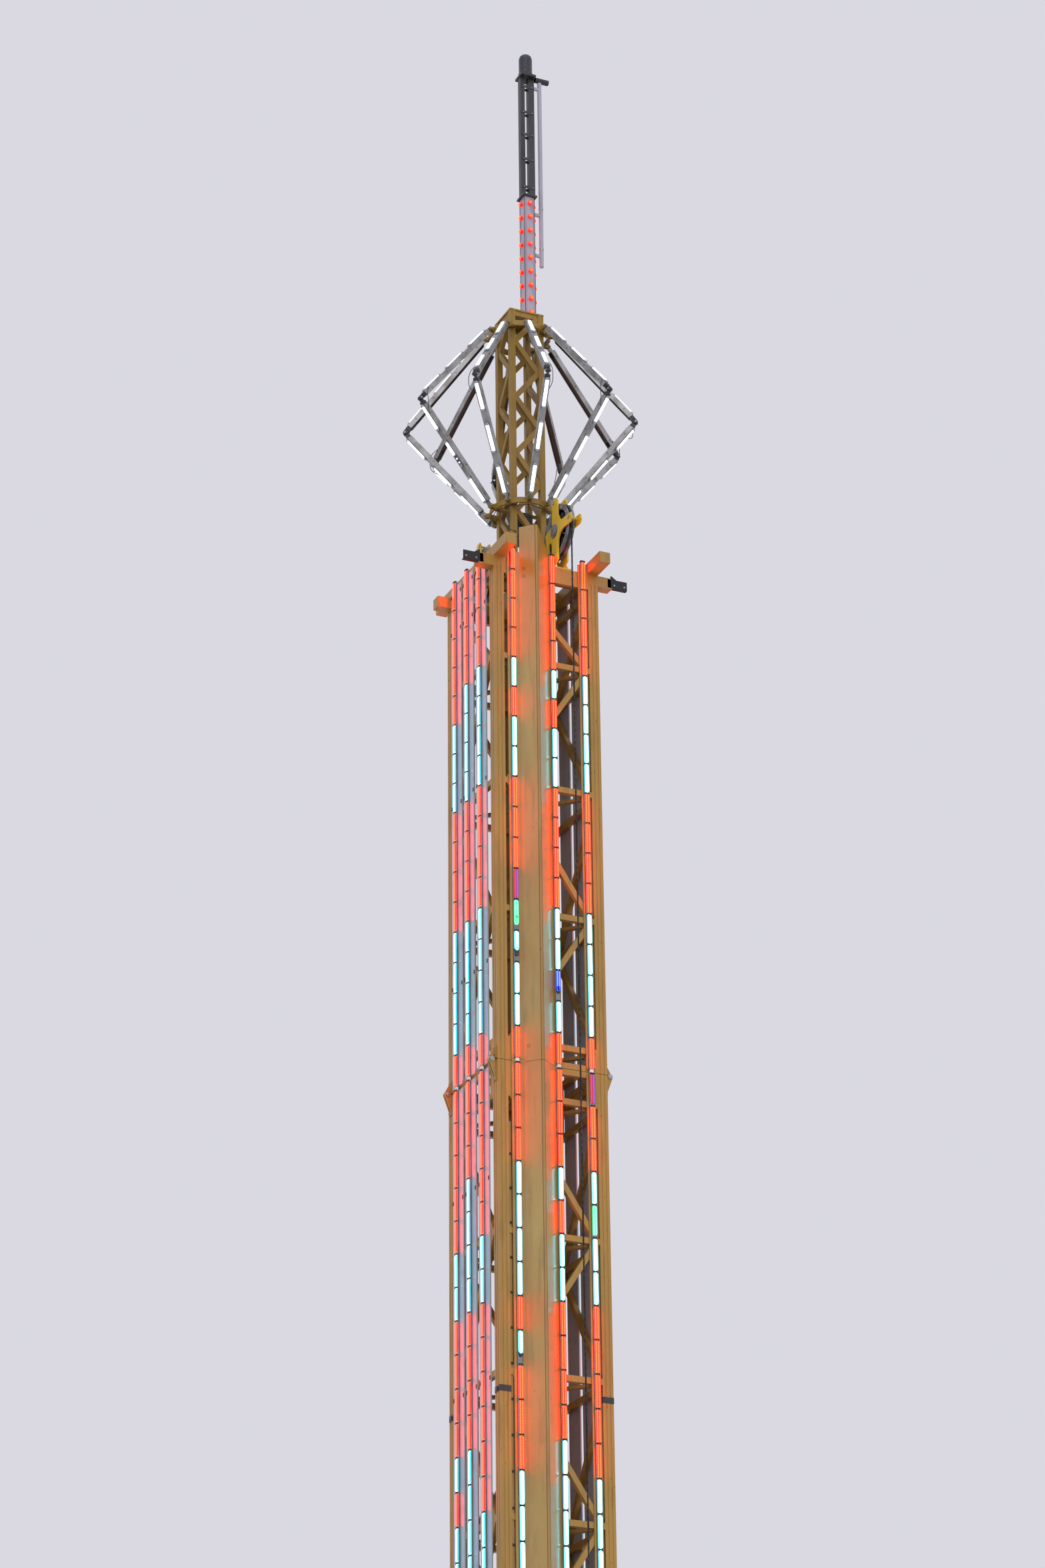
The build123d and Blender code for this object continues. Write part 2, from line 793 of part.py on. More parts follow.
def arm(hinge, knee):
    start = along(hinge, knee, arm_end_setback)
    end = along(knee, hinge, knuckle_length)
    low_end, high_end = sorted((start, end), key=lambda point: point.Z)
    channel = beam(high_end, low_end, arm_profile(), (0, 1, 0))
    direction = (Vector(*knee) - Vector(*hinge)).normalized()
    plane = Plane(origin=start, x_dir=(0, 1, 0), z_dir=direction)
    lid = extrude(plane * Rectangle(arm_width, arm_depth), amount=arm_wall)
    return channel + lid + arm_eye(hinge, knee)


def knuckle(hinge, knee, plates):
    direction = (Vector(*hinge) - Vector(*knee)).normalized()
    profile = small_round(arm_eye_radius)
    profile += Pos(knuckle_length / 2, 0) * Rectangle(knuckle_length, 2 * arm_eye_radius)
    profile -= small_hole(hinge_pin_radius + fit_clearance)
    solid = None
    for y, thickness in plates:
        plane = Plane(origin=Vector(*knee) + Vector(0, y + thickness / 2, 0),
                      x_dir=direction, z_dir=(0, -1, 0))
        plate = extrude(plane * profile, amount=thickness)
        solid = plate if solid is None else solid + plate
    start = Vector(*knee) + direction * (arm_eye_radius + ring_thickness)
    plane = Plane(origin=start, x_dir=(0, 1, 0), z_dir=direction)
    length = knuckle_length - arm_eye_radius - ring_thickness
    body = extrude(plane * Rectangle(arm_width - 2 * arm_wall, 2 * arm_eye_radius), amount=length)
    return solid + body


def round_all(shapes):
    return [turned(shape, angle) for angle in arm_angles() for shape in shapes]


def knee_knuckles():
    spacing = arm_eye_thickness / 2 + ear_gap + ear_thickness / 2
    fork = knuckle(top_hinge, knee, ((-spacing, ear_thickness), (spacing, ear_thickness)))
    tongue = knuckle(low_hinge, knee, ((0, arm_eye_thickness),))
    return round_all([fork, tongue])


def arm_pins():
    length = arm_eye_thickness + 2 * ear_gap + 2 * ear_thickness + arm_wall
    pin = Rot(90, 0, 0) * rod(small_round(hinge_pin_radius), length)
    return round_all([Pos(*place) * pin for place in (top_hinge, knee, low_hinge)])


def light_bar():
    outline = chamfer(Rectangle(light_bar_width, light_bar_length).vertices(), light_bar_depth)
    return extrude(outline, amount=light_bar_depth)


def arm_light_bars():
    bars = []
    for hinge, outward_sign in ((top_hinge, 1), (low_hinge, -1)):
        direction = (Vector(*knee) - Vector(*hinge)).normalized()
        outward = direction.cross(Vector(0, outward_sign, 0))
        middle = (Vector(*hinge) + Vector(*knee)) / 2
        middle += direction * (arm_end_setback - knuckle_length) / 2
        for n in range(light_bars_per_arm):
            offset = (n - (light_bars_per_arm - 1) / 2) * light_bar_pitch
            origin = middle + direction * offset + outward * (arm_depth / 2)
            plane = Plane(origin=origin, x_dir=(0, 1, 0), z_dir=outward)
            bars.append(plane * light_bar())
    return round_all(bars)


# Dark box inside the lantern's foot, on a bar across the low ring
def lantern_box():
    outline = chamfer(Rectangle(box_width, box_depth).vertices(), box_corner)
    body = prism(outline, box_top - box_height, box_top)
    reach = low_hinge_radius - ring_inset - ring_thickness
    bar = block(-reach, reach, -box_hanger_width / 2, box_hanger_width / 2, box_top,
                box_top + box_hanger_height)
    return body + bar


# Mast
def mast_foot():
    return prism(Rectangle(mast_foot_side, mast_foot_side), post_top, mast_bottom)


def mast_box():
    inside = mast_side - 2 * mast_wall
    profile = Rectangle(mast_side, mast_side) - Rectangle(inside, inside)
    edge = mast_side / 2 - mast_groove
    for x, y in ((-1, -1), (1, -1), (1, 1), (-1, 1)):
        profile -= Pos(x * edge, y * mast_side / 2) * Rectangle(mast_groove_depth, mast_groove_depth)
    return prism(Pos(mast_place_x, 0) * profile, mast_bottom, mast_top)


def lamp_level(n):
    return mast_bottom + (n + 0.5) * mast_height / lamp_count


def mast_lamps():
    lamps = []
    lamp = extrude(small_round(lamp_radius), amount=lamp_depth)
    for n in range(lamp_count):
        for quarter in (0, 90, 180, 270):
            one = Pos(mast_side / 2, 0, lamp_level(n)) * Rot(0, 90, 0) * lamp
            lamps.append(Pos(mast_place_x, 0, 0) * turned(one, quarter))
    return lamps


def mast_plate():
    return prism(Pos(mast_place_x, 0) * Rectangle(mast_plate_side, mast_plate_side), mast_top,
                 mast_top + mast_plate_thickness)


def mast_twins():
    low = mast_top + mast_plate_thickness
    posts = []
    for side, width in zip((-1, 1), twin_widths):
        x = mast_place_x + side * twin_spacing / 2
        posts.append(prism(Pos(x, 0) * Rectangle(width, twin_depth), low, upper_mast_top))
    return posts


def top_plate():
    return prism(Pos(mast_place_x, 0) * Rectangle(top_plate_side, top_plate_side), upper_mast_top,
                 upper_mast_top + top_plate_thickness)


def side_pole():
    x = mast_place_x + pole_place
    pole = prism(Pos(x, 0) * fair_round(pole_radius), pole_top - pole_height, pole_top)
    for z in (lamp_level(n + 0.5) for n in pole_clip_lamps):
        pole += block(mast_place_x + mast_side / 2, x, -pole_clip_width / 2, pole_clip_width / 2,
                      z - pole_clip_height / 2, z + pole_clip_height / 2)
    face = mast_place_x + twin_spacing / 2 + twin_widths[1] / 2
    z = upper_mast_top - pole_clip_drop
    return pole + block(face, x, -pole_clip_width / 2, pole_clip_width / 2,
                        z - pole_clip_height / 2, z + pole_clip_height / 2)


def beacon():
    low = upper_mast_top + top_plate_thickness
    lens_low, lens_high = low + beacon_foot_height, low + beacon_height
    solid = prism(Pos(mast_place_x, 0) * fair_round(beacon_foot_radius), low, lens_low)
    solid += prism(Pos(mast_place_x, 0) * fair_round(beacon_radius), lens_low, lens_high)
    return chamfer(solid.faces().sort_by(Axis.Z)[-1].edges(), beacon_shoulder)


def cross_tube():
    x = mast_place_x + cross_tube_place
    z = pole_top + cross_tube_radius
    return Pos(x, 0, z) * Rot(0, 90, 0) * rod(fair_round(cross_tube_radius), cross_tube_length)


write("foot_flange", foot_flange())
write("foot_gussets", foot_gussets())
for name, quarter in (("front_left", 0), ("front_right", 90), ("back_right", 180),
                      ("back_left", 270)):
    write(f"column_{name}", columns(quarter))
for name, quarter in (("front", 0), ("right", 90), ("back", 180), ("left", 270)):
    write(f"lattice_{name}", lattice(quarter))
write("plan_braces", [plan_brace(z) for z in plan_brace_levels()])
for side, quarter in (("front", 0), ("back", 180)):
    write(f"rail_carrier_{side}", rail_carrier(quarter))
    write(f"guide_rail_{side}", guide_rail(quarter))
    write(f"light_strips_{side}", front_strips(quarter))
for side, quarter in (("left", 0), ("right", 180)):
    write(f"backing_boards_{side}", side_boards(quarter))
    write(f"light_strips_{side}", side_strips(quarter))
for level, z in zip(("low", "middle", "high"), joints):
    write(f"section_lugs_{level}", section_lugs(z))
write("section_pins", section_pins())
write("head_cross_beams", head_cross_beams())
write("cross_beam_ends", cross_beam_caps())
write("head_side_beams", head_side_beams())
write("lantern_base_beams", lantern_base())
for side, quarter in (("front", 0), ("back", 180)):
    write(f"sheave_cheeks_{side}", turned(sheave_cheeks(), quarter))
    write(f"sheave_axle_{side}", turned(sheave_axle(), quarter))
    write(f"sheave_wheel_{side}", turned(sheave_wheel(), quarter))
    write(f"hoist_rope_{side}", [turned(solid, quarter) for solid in hoist_rope()])
write("rope_sockets", rope_sockets())
write("lantern_posts", lantern_posts())
write("lantern_braces", [turned(lantern_brace_panel(), quarter) for quarter in (0, 90, 180, 270)])
write("lantern_low_ring", hinge_ring(low_hinge, 2 * arm_count))
write("lantern_top_ring", hinge_ring(top_hinge, arm_count))
write("upper_arms", round_all([arm(top_hinge, knee)]))
write("lower_arms", round_all([arm(low_hinge, knee)]))
write("knee_knuckles", knee_knuckles())
write("arm_pins", arm_pins())
write("arm_light_bars", arm_light_bars())
write("lantern_box", lantern_box())
write("mast_foot", mast_foot())
write("mast_box", mast_box())
write("mast_lamps", mast_lamps())
write("mast_plate", mast_plate())
write("mast_twin_posts", mast_twins())
write("mast_top_plate", top_plate())
write("side_pole", side_pole())
write("beacon", beacon())
write("cross_tube", cross_tube())
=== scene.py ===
import bpy
from contextlib import contextmanager
from math import cos, hypot, pi, radians, sin, tan
from mathutils import Matrix, Vector


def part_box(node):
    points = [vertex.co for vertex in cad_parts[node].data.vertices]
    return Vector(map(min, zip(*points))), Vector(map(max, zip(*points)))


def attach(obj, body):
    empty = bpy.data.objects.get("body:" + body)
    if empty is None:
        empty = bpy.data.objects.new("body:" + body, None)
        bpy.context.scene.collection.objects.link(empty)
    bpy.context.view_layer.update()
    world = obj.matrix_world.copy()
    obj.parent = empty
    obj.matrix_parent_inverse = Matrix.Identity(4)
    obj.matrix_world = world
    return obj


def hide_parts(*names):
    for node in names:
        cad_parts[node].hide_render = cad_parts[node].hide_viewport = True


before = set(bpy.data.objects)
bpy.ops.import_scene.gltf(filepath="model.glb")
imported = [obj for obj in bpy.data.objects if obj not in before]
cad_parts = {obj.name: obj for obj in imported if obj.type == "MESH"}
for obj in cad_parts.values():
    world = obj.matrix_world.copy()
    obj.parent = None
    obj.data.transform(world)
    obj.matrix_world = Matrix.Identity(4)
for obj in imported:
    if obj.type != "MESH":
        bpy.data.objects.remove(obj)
scene = bpy.context.scene
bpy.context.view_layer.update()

# Sizes that the solids have too, in metres at 1:2
half, column_place = 0.445, 0.4025
board_face = half + 0.01
strip_face = board_face + 0.015
joints = (2.535, 7.155, 11.775)
strip_low, strip_high = 0.3, 16.025
joint_slit = 0.035
# Light strips' middles, from the left face's back edge and from the front face's left edge
side_places = (0.255, 0.0275, -0.21)
front_places = (-0.295, 0.0415, 0.307)
rail_face = 0.551
arm_count, arm_turn = 10, 7
top_hinge = Vector((0.275, 0, 18.235))
knee = Vector((0.927, 0, 17.4))
low_hinge = Vector((0.285, 0, 16.61))
arm_width, arm_depth = 0.052, 0.042
hinge_setback, knee_setback = 0.046, 0.06
bar_length, bar_width, bar_pitch = 0.246, 0.036, 0.34
sheave = Vector((0.12, -0.45, 16.255))
sheave_radius = 0.226
cheek_outside = 0.046
post_place = 0.125
mast_x, mast_low, mast_high = 0.084, 18.404, 19.58
mast_half, lamp_count = 0.045, 9
twin_low, twin_high = 19.596, 20.765
beacon_low, beacon_top = 20.785, 21.0


# Materials
def srgb(code):
    """A colour in sRGB hex as linear RGBA."""
    parts = [int(code[i:i + 2], 16) / 255 for i in (1, 3, 5)]
    return (*[p / 12.92 if p <= 0.04045 else ((p + 0.055) / 1.055) ** 2.4 for p in parts], 1.0)


def connect(node, sockets):
    """Each socket gets a value, or a link from a socket or a node's first output in use."""
    for name, value in sockets.items():
        if isinstance(value, bpy.types.Node):
            value = next(out for out in value.outputs if out.enabled)
        if isinstance(value, bpy.types.NodeSocket):
            node.id_data.links.new(value, node.inputs[name])
        else:
            node.inputs[name].default_value = value


def add_node(tree, kind, sockets={}, **settings):
    """One shader node with its settings, values and links."""
    node = tree.nodes.new("ShaderNode" + kind)
    for name, value in settings.items():
        setattr(node, name, value)
    connect(node, sockets)
    return node


def new_finish(name, sockets):
    """A material with one Principled shader whose constants sit on its own sockets."""
    made = bpy.data.materials.new(name)
    made.use_nodes = True
    tree = made.node_tree
    tree.nodes.clear()
    shader = add_node(tree, "BsdfPrincipled", sockets)
    add_node(tree, "OutputMaterial", {"Surface": shader})
    place = add_node(tree, "TexCoord").outputs["Object"]
    return made, shader, place


def blotches(place, size, detail, low=0.0, high=1.0):
    """A mask of soft blotches, size metres along X, Y and Z: 0 under low, 1 above high."""
    tree = place.id_data
    spot = add_node(tree, "VectorMath", {0: place, 1: [1 / s for s in size]}, operation="MULTIPLY")
    noise = add_node(tree, "TexNoise", {"Vector": spot, "Scale": 1.0, "Detail": detail},
                     normalize=True)
    return add_node(tree, "MapRange", {"Value": noise, "From Min": low, "From Max": high})


def stained(shader, colour, *stains):
    """The base colour, with each stain's sRGB colour laid over it where its mask is 1."""
    tone, tree = srgb(colour), shader.id_data
    for amount, stain in stains:
        tone = add_node(tree, "Mix", {0: amount, 6: tone, 7: srgb(stain)}, data_type="RGBA")
    connect(shader, {"Base Color": tone})


def skin(shader, roughness, change, by, height, depth):
    """Roughness that moves by change where a mask is 1, and relief of depth metres."""
    tree = shader.id_data
    spread = add_node(tree, "MapRange", {
        "Value": by, "To Min": roughness, "To Max": roughness + change})
    bump = add_node(tree, "Bump", {"Height": height, "Distance": depth})
    connect(shader, {"Roughness": spread, "Normal": bump})


def enamel(name, colour, faded, dirt, rust_from, roughness):
    """Alkyd enamel on steel: sun fade, soft rain marks and a few rust spots."""
    made, shader, place = new_finish(name, {"Metallic": 0, "IOR": 1.5})
    fade = blotches(place, (0.26, 0.26, 0.6), 4.0, 0.35, 0.68)
    rain = blotches(place, (0.05, 0.05, 0.42), 4.0, 0.54, 0.86)
    rust = blotches(place, (0.016, 0.016, 0.026), 6.0, rust_from, rust_from + 0.04)
    grain = blotches(place, (0.004, 0.004, 0.012), 2.0)
    stained(shader, colour, (fade, faded), (rain, dirt), (rust, "#5A2E16"))
    skin(shader, roughness, 0.25, rain, grain, 0.0003)
    return made


# Ochre enamel on the tower's tubes: warm, half gloss, a little sooty down the rain lines
ochre_enamel = enamel("ochre_enamel_on_rolled_steel", "#AC8138", "#A07734", "#80602C", 0.68, 0.42)
# The lantern's enamel is older: more olive, and rusted at more spots
olive_enamel = enamel("olive_ochre_enamel_on_tube", "#957322", "#846220", "#5C451C", 0.66, 0.48)
# Fresh yellow enamel on the flame-cut cheeks: the brightest paint on the ride
yellow_enamel = enamel("yellow_enamel_on_plate", "#DDB61B", "#D0A71B", "#9C7C1C", 0.69, 0.36)
# Rail enamel is polished by the rollers: a smooth gloss that mirrors the lights
rail_enamel = enamel("gloss_ochre_enamel_on_rail", "#A37838", "#AC8446", "#86653A", 0.72, 0.2)
# Light grey enamel on the mast box: cool mauve grey, lightly streaked
grey_enamel = enamel("light_grey_enamel_on_box", "#A9A6B6", "#9E9BAA", "#827F8C", 0.74, 0.36)
# Dark grey enamel on small steelwork: nearly black, soft highlights
dark_enamel = enamel("dark_grey_enamel_on_steel", "#26262A", "#303034", "#1C1B1A", 0.7, 0.46)


def coated_sheet(name, colour, shade):
    """Polyester coated sheet: flat and pale, with faint streaks, marks and waves."""
    made, shader, place = new_finish(name, {"Metallic": 0, "IOR": 1.5})
    streak = blotches(place, (0.05, 0.05, 1.4), 3.0, 0.45, 0.8)
    smear = blotches(place, [0.12] * 3, 5.0, 0.55, 0.8)
    wave = blotches(place, (0.2, 0.2, 0.6), 1.0)
    stained(shader, colour, (streak, shade), (smear, "#9A9896"))
    skin(shader, 0.34, 0.18, smear, wave, 0.0012)
    return made


# Pale boards behind the side strips pick up the colour of the lamps beside them
board_sheet = coated_sheet("pale_polyester_coated_sheet", "#ACAEB6", "#9C9EA8")


def bare_metal(name, colour, shade, grain, roughness, depth):
    """Bare metal whose drawn, rolled or turned grain has the given size in metres."""
    made, shader, place = new_finish(name, {"Metallic": 1.0})
    patch = blotches(place, (0.09, 0.09, 0.14), 4.0, 0.42, 0.66)
    lines = blotches(place, grain, 2.0)
    stained(shader, colour, (patch, shade))
    skin(shader, roughness, 0.22, lines, lines, depth)
    return made


# Extruded aluminium, weathered, with its die lines left: dull warm grey sheen along the arm
arm_aluminium = bare_metal("weathered_extruded_aluminium", "#A3A2A2", "#85827F",
                           (0.0016, 0.0016, 0.25), 0.42, 0.00008)
# Natural anodised channel: finer and darker than the arms
channel_aluminium = bare_metal("anodised_aluminium_channel", "#84888E", "#72767D",
                               (0.001, 0.001, 0.3), 0.4, 0.00005)
# Machined steel of pins and axles: brighter, with turning marks
turned_steel = bare_metal("turned_mild_steel", "#9A9A98", "#77746F", [0.002] * 3,
                          0.3, 0.00006)


def zinc_coat():
    """Hot dip zinc: crystals about 9 mm across, each with its own sheen."""
    made, shader, place = new_finish("hot_dip_zinc_on_steel", {"Metallic": 0.9})
    tree = made.node_tree
    spot = add_node(tree, "VectorMath", {0: place, 1: [1 / 0.009] * 3}, operation="MULTIPLY")
    crystal = add_node(tree, "TexVoronoi", {"Vector": spot, "Scale": 1.0})
    value = add_node(tree, "SeparateColor", {"Color": crystal.outputs["Color"]})
    stained(shader, "#8E9295", (value.outputs["Red"], "#A9ADB0"))
    skin(shader, 0.38, 0.2, value.outputs["Green"], crystal, 0.0001)
    return made


zinc = zinc_coat()


def sheave_iron():
    """Grey cast iron: sand-cast grain on the web, a dark groove polished by the greased rope."""
    made, shader, place = new_finish("grey_cast_iron_greased", {"Metallic": 0.35, "IOR": 1.6})
    tree = made.node_tree
    reach = []
    for side in (1, -1):
        arm = add_node(tree, "VectorMath", {
            0: place, 1: (side * sheave.x, side * sheave.y, sheave.z)}, operation="SUBTRACT")
        flat = add_node(tree, "VectorMath", {0: arm, 1: (0, 1, 1)}, operation="MULTIPLY")
        reach.append(add_node(tree, "VectorMath", {0: flat}, operation="LENGTH"))
    near = add_node(tree, "Math", {0: reach[0], 1: reach[1]}, operation="MINIMUM")
    groove_inside, groove_edge, rim_edge = (sheave_radius - x for x in (0.019, 0.017, 0.004))
    inside = add_node(tree, "MapRange", {
        "Value": near, "From Min": groove_edge, "From Max": rim_edge})
    groove = add_node(tree, "MapRange", {
        "Value": near, "From Min": groove_inside, "From Max": groove_edge})
    dark = add_node(tree, "Math", {0: groove, 1: inside}, operation="SUBTRACT", use_clamp=True)
    patch = blotches(place, [0.07] * 3, 4.0, 0.4, 0.62)
    grain = blotches(place, [0.004] * 3, 5.0)
    stained(shader, "#86888A", (patch, "#62605D"), (dark, "#1A1613"))
    skin(shader, 0.56, -0.28, dark, grain, 0.0006)
    return made


sheave_finish = sheave_iron()


def rope_steel():
    """Greased wire rope: six strands laid to the right, as slanting dark and bright bands."""
    made, shader, place = new_finish("greased_steel_wire_rope", {"Metallic": 0.7})
    tree = made.node_tree
    # Strands about 13 mm apart
    spot = add_node(tree, "VectorMath", {0: place, 1: (90, 90, 38)}, operation="MULTIPLY")
    band = add_node(tree, "TexWave", {
        "Vector": spot, "Scale": 0.32, "Distortion": 0.0},
        bands_direction="DIAGONAL").outputs["Fac"]
    grease = blotches(place, (0.02, 0.02, 0.2), 4.0, 0.4, 0.62)
    stained(shader, "#161514", (band, "#4A4743"), (grease, "#1B1712"))
    skin(shader, 0.32, 0.25, band, band, 0.0012)
    return made


rope_finish = rope_steel()


def moulded(name, colour, shade, roughness, grit):
    """Moulded rubber or plastic with dust on it and a tooling grain of grit metres."""
    made, shader, place = new_finish(name, {"Metallic": 0, "IOR": 1.5})
    dust = blotches(place, [0.05] * 3, 5.0, 0.5, 0.75)
    grain = blotches(place, [grit] * 3, 2.0)
    stained(shader, colour, (dust, shade))
    skin(shader, roughness, 0.12, dust, grain, grit * 0.15)
    return made


# Vulcanised rubber: deep black with grey dust
black_rubber = moulded("vulcanised_black_rubber", "#0E0E0F", "#242322", 0.62, 0.0015)
# PVC cable jackets: black, slightly glossier than rubber
cable_jacket = moulded("black_pvc_cable_jacket", "#0B0B0C", "#1D1C1C", 0.38, 0.001)
# White nylon spacers between strip lengths
white_nylon = moulded("white_moulded_nylon", "#E4E6E8", "#C4C2BC", 0.45, 0.0012)
# Rust-brown primer on pressed steel trays
brown_primer = moulded("red_oxide_primed_steel", "#4A2E20", "#3A2A20", 0.6, 0.003)
# Unlit modules: smoked polycarbonate
dark_lens = moulded("unlit_smoked_polycarbonate", "#2B2226", "#3C3436", 0.25, 0.002)
# The unlit beacon's dome: dark grey, with a soft shine down its rings
smoked_dome = moulded("smoked_polycarbonate_dome", "#2C3036", "#3D4147", 0.2, 0.002)


def lit_lens(name, body, point, glow, power, rows=2, points=22, edge=0.5, core=0.28,
             second_row=None):
    """Lit polycarbonate lens over rows of light-emitting diodes, 11 mm apart along a module."""
    made, shader, place = new_finish(name, {
        "Base Color": srgb(body), "Metallic": 0.0, "IOR": 1.585, "Roughness": 0.22,
        "Emission Strength": power})
    tree = made.node_tree
    module = add_node(tree, "UVMap", uv_map="module")
    cell = add_node(tree, "VectorMath", {0: module, 1: (rows, points, 1)}, operation="MULTIPLY")
    spot = add_node(tree, "VectorMath", {0: cell}, operation="FRACTION")
    off = add_node(tree, "VectorMath", {0: spot, 1: (0.5, 0.5, 0)}, operation="SUBTRACT")
    across = add_node(tree, "VectorMath", {0: off, 1: (1.3, 1 if points > 1 else 0, 0)},
                      operation="MULTIPLY")
    away = add_node(tree, "VectorMath", {0: across}, operation="LENGTH")
    lit = add_node(tree, "MapRange", {"Value": away, "From Min": edge, "From Max": core})
    row = srgb(point)
    if second_row:
        half_way = add_node(tree, "SeparateXYZ", {"Vector": cell})
        right = add_node(tree, "Math", {0: half_way.outputs["X"], 1: 1.0},
                         operation="GREATER_THAN")
        row = add_node(tree, "Mix", {0: right, 6: row, 7: srgb(second_row)}, data_type="RGBA")
    light = add_node(tree, "Mix", {0: lit, 6: srgb(glow), 7: row}, data_type="RGBA")
    haze = blotches(place, [0.03] * 3, 2.0)
    bump = add_node(tree, "Bump", {"Height": haze, "Distance": 0.0002})
    connect(shader, {"Emission Color": light, "Normal": bump})
    return made


# Saturated light, strong enough to clip only in the diodes' own channel: red modules stay red
# with orange points, white ones turn white in the middle with a cyan edge
red_lens = lit_lens("red_lit_polycarbonate", "#4A0806", "#FF2A0C", "#FF0602", 18.0)
cyan_lens = lit_lens("cyan_white_lit_polycarbonate", "#3F9CC0", "#59E7FF", "#005A70", 15.0, 1, 1,
                     0.58, 0.42)
# Modules with a failed channel show green, blue or violet
green_lens = lit_lens("green_fault_lit_polycarbonate", "#3C6B4C", "#5FD09A", "#0A8040", 6.0)
blue_lens = lit_lens("blue_fault_lit_polycarbonate", "#26306E", "#4A6CF0", "#0A10A0", 5.0)
violet_lens = lit_lens("violet_fault_lit_polycarbonate", "#3A1436", "#E02018", "#5A0410", 3.0,
                       second_row="#6A38F0")
# Arm bars: plain white tubes behind a milky lens
white_lens = lit_lens("white_lit_milky_polycarbonate", "#E8F0F0", "#FFFFFF", "#EAF6FF", 2.4, 1, 12)
# Mast lamps: an orange core in a lit red reflector
lamp_core = lit_lens("lit_orange_red_cap", "#C4121E", "#FF6A1E", "#FF3A10", 6.0, 1, 1)
lamp_rim = lit_lens("red_polycarbonate_reflector", "#A01018", "#FF1206", "#F00C05", 2.0, 1, 1)


def clear_plastic(name, colour, roughness, clear):
    """Clear or tinted polycarbonate moulding with a film of dust."""
    made, shader, place = new_finish(name, {
        "Metallic": 0.0, "IOR": 1.585, "Transmission Weight": clear})
    dust = blotches(place, (0.03, 0.03, 0.05), 4.0, 0.5, 0.8)
    stained(shader, colour, (dust, "#B9B4AA"))
    skin(shader, roughness, 0.2, dust, dust, 0.0002)
    return made


end_cap_plastic = clear_plastic("clear_polycarbonate_end_cap", "#C3CDD0", 0.14, 0.3)


class Shape:
    """The parts of one piece, gathered in metres."""
    def __init__(self):
        self.points, self.faces, self.slots, self.smooth, self.uvs = ([] for _ in range(5))

    def add(self, points, faces, slot=0, smooth=False, uvs=None):
        first = len(self.points)
        self.points += [tuple(p) for p in points]
        self.uvs += uvs or [(0.0, 0)] * len(points)
        self.faces += [tuple(first + i for i in face) for face in faces]
        self.slots += [slot] * len(faces)
        self.smooth += [smooth] * len(faces)

    def loft(self, rings, slot=0, smooth=False, uvs=None, closed=True):
        """Rings of as many points each, joined one to the next."""
        count = len(rings[0])
        last = (len(rings) - 1) * count
        faces = [(r + i, r + (i + 1) % count, r + count + (i + 1) % count, r + count + i)
                 for r in range(0, last, count) for i in range(count)]
        if closed:
            faces += [tuple(reversed(range(count))), tuple(range(last, last + count))]
        self.add([point for ring in rings for point in ring], faces, slot, smooth, uvs)

    def stack(self, rings, place, slot=0, smooth=False, uv_size=None, closed=True):
        """Rings one over the other, each ((x, y) outline, height)."""
        uvs = uv_size and [(x / uv_size[0] + 0.5, y / uv_size[1] + 0.5)
                           for outline, z in rings for x, y in outline]
        self.loft([[place @ Vector((x, y, z)) for x, y in outline] for outline, z in rings],
                  slot, smooth, uvs, closed)

    def lathe(self, profile, place, sides=24, slot=0, smooth=True):
        """A profile of (radius, height) turned round the local Z axis."""
        turns = [(cos(2 * pi * i / sides), sin(2 * pi * i / sides)) for i in range(sides)]
        rings = [([(radius * c, radius * s) for c, s in turns], z) for radius, z in profile]
        self.stack(rings, place, slot, smooth)

    def box(self, size, place, slot=0, edge=0.0):
        """A block of that size with its four long edges and top edges cut by edge."""
        x, y, z = (s / 2 for s in size)
        if not edge:
            outline = twice([(-x, -y), (x, -y)])
            self.stack([(outline, -z), (outline, z)], place, slot)
            return
        wide = cut_corners(x, y, edge)
        tight = cut_corners(x - edge, y - edge, edge / 2)
        self.stack([(tight, -z), (wide, edge - z), (wide, z - edge), (tight, z)], place, slot)

    def bolt(self, place, size, slot=0):
        """Hex head on a washer; size is the thread's diameter."""
        self.lathe([(size, 0.0), (size, size * 0.2)], place, 16, slot, False)
        self.lathe([(size * 0.88, size * 0.2), (size * 0.88, size * 0.75),
                    (size * 0.7, size * 0.9)], place, 6, slot, False)

    def tube(self, path, radius, sides=8, slot=0, turn=Matrix()):
        """A round bar or cable along a path of points."""
        path = [turn @ Vector(p) for p in path]
        rings, across = [], None
        for i, point in enumerate(path):
            ahead = (path[min(i + 1, len(path) - 1)] - path[max(i - 1, 0)]).normalized()
            if across is None:
                across = ahead.orthogonal().normalized()
            across = (across - ahead * across.dot(ahead)).normalized()
            side = ahead.cross(across)
            turns = [2 * pi * k / sides for k in range(sides)]
            rings.append([point + (across * cos(a) + side * sin(a)) * radius for a in turns])
        self.loft(rings, slot, True)


@contextmanager
def piece(name, finishes, slot_name, body="root", replaces=None):
    """Hands out a Shape to fill, then makes it a mesh that rides on its body."""
    shape = Shape()
    yield shape
    mesh = bpy.data.meshes.new(name)
    mesh.from_pydata(shape.points, [], shape.faces)
    for finish in finishes:
        mesh.materials.append(finish)
    mesh.polygons.foreach_set("material_index", shape.slots)
    mesh.polygons.foreach_set("use_smooth", shape.smooth)
    layer = mesh.uv_layers.new(name="module")
    for loop in mesh.loops:
        layer.data[loop.index].uv = shape.uvs[loop.vertex_index]
    mesh.update()
    made = add_object(name, mesh)
    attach(made, body)
    if replaces:
        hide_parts(replaces)


def add_object(name, data):
    made = bpy.data.objects.new(name, data)
    scene.collection.objects.link(made)
    return made


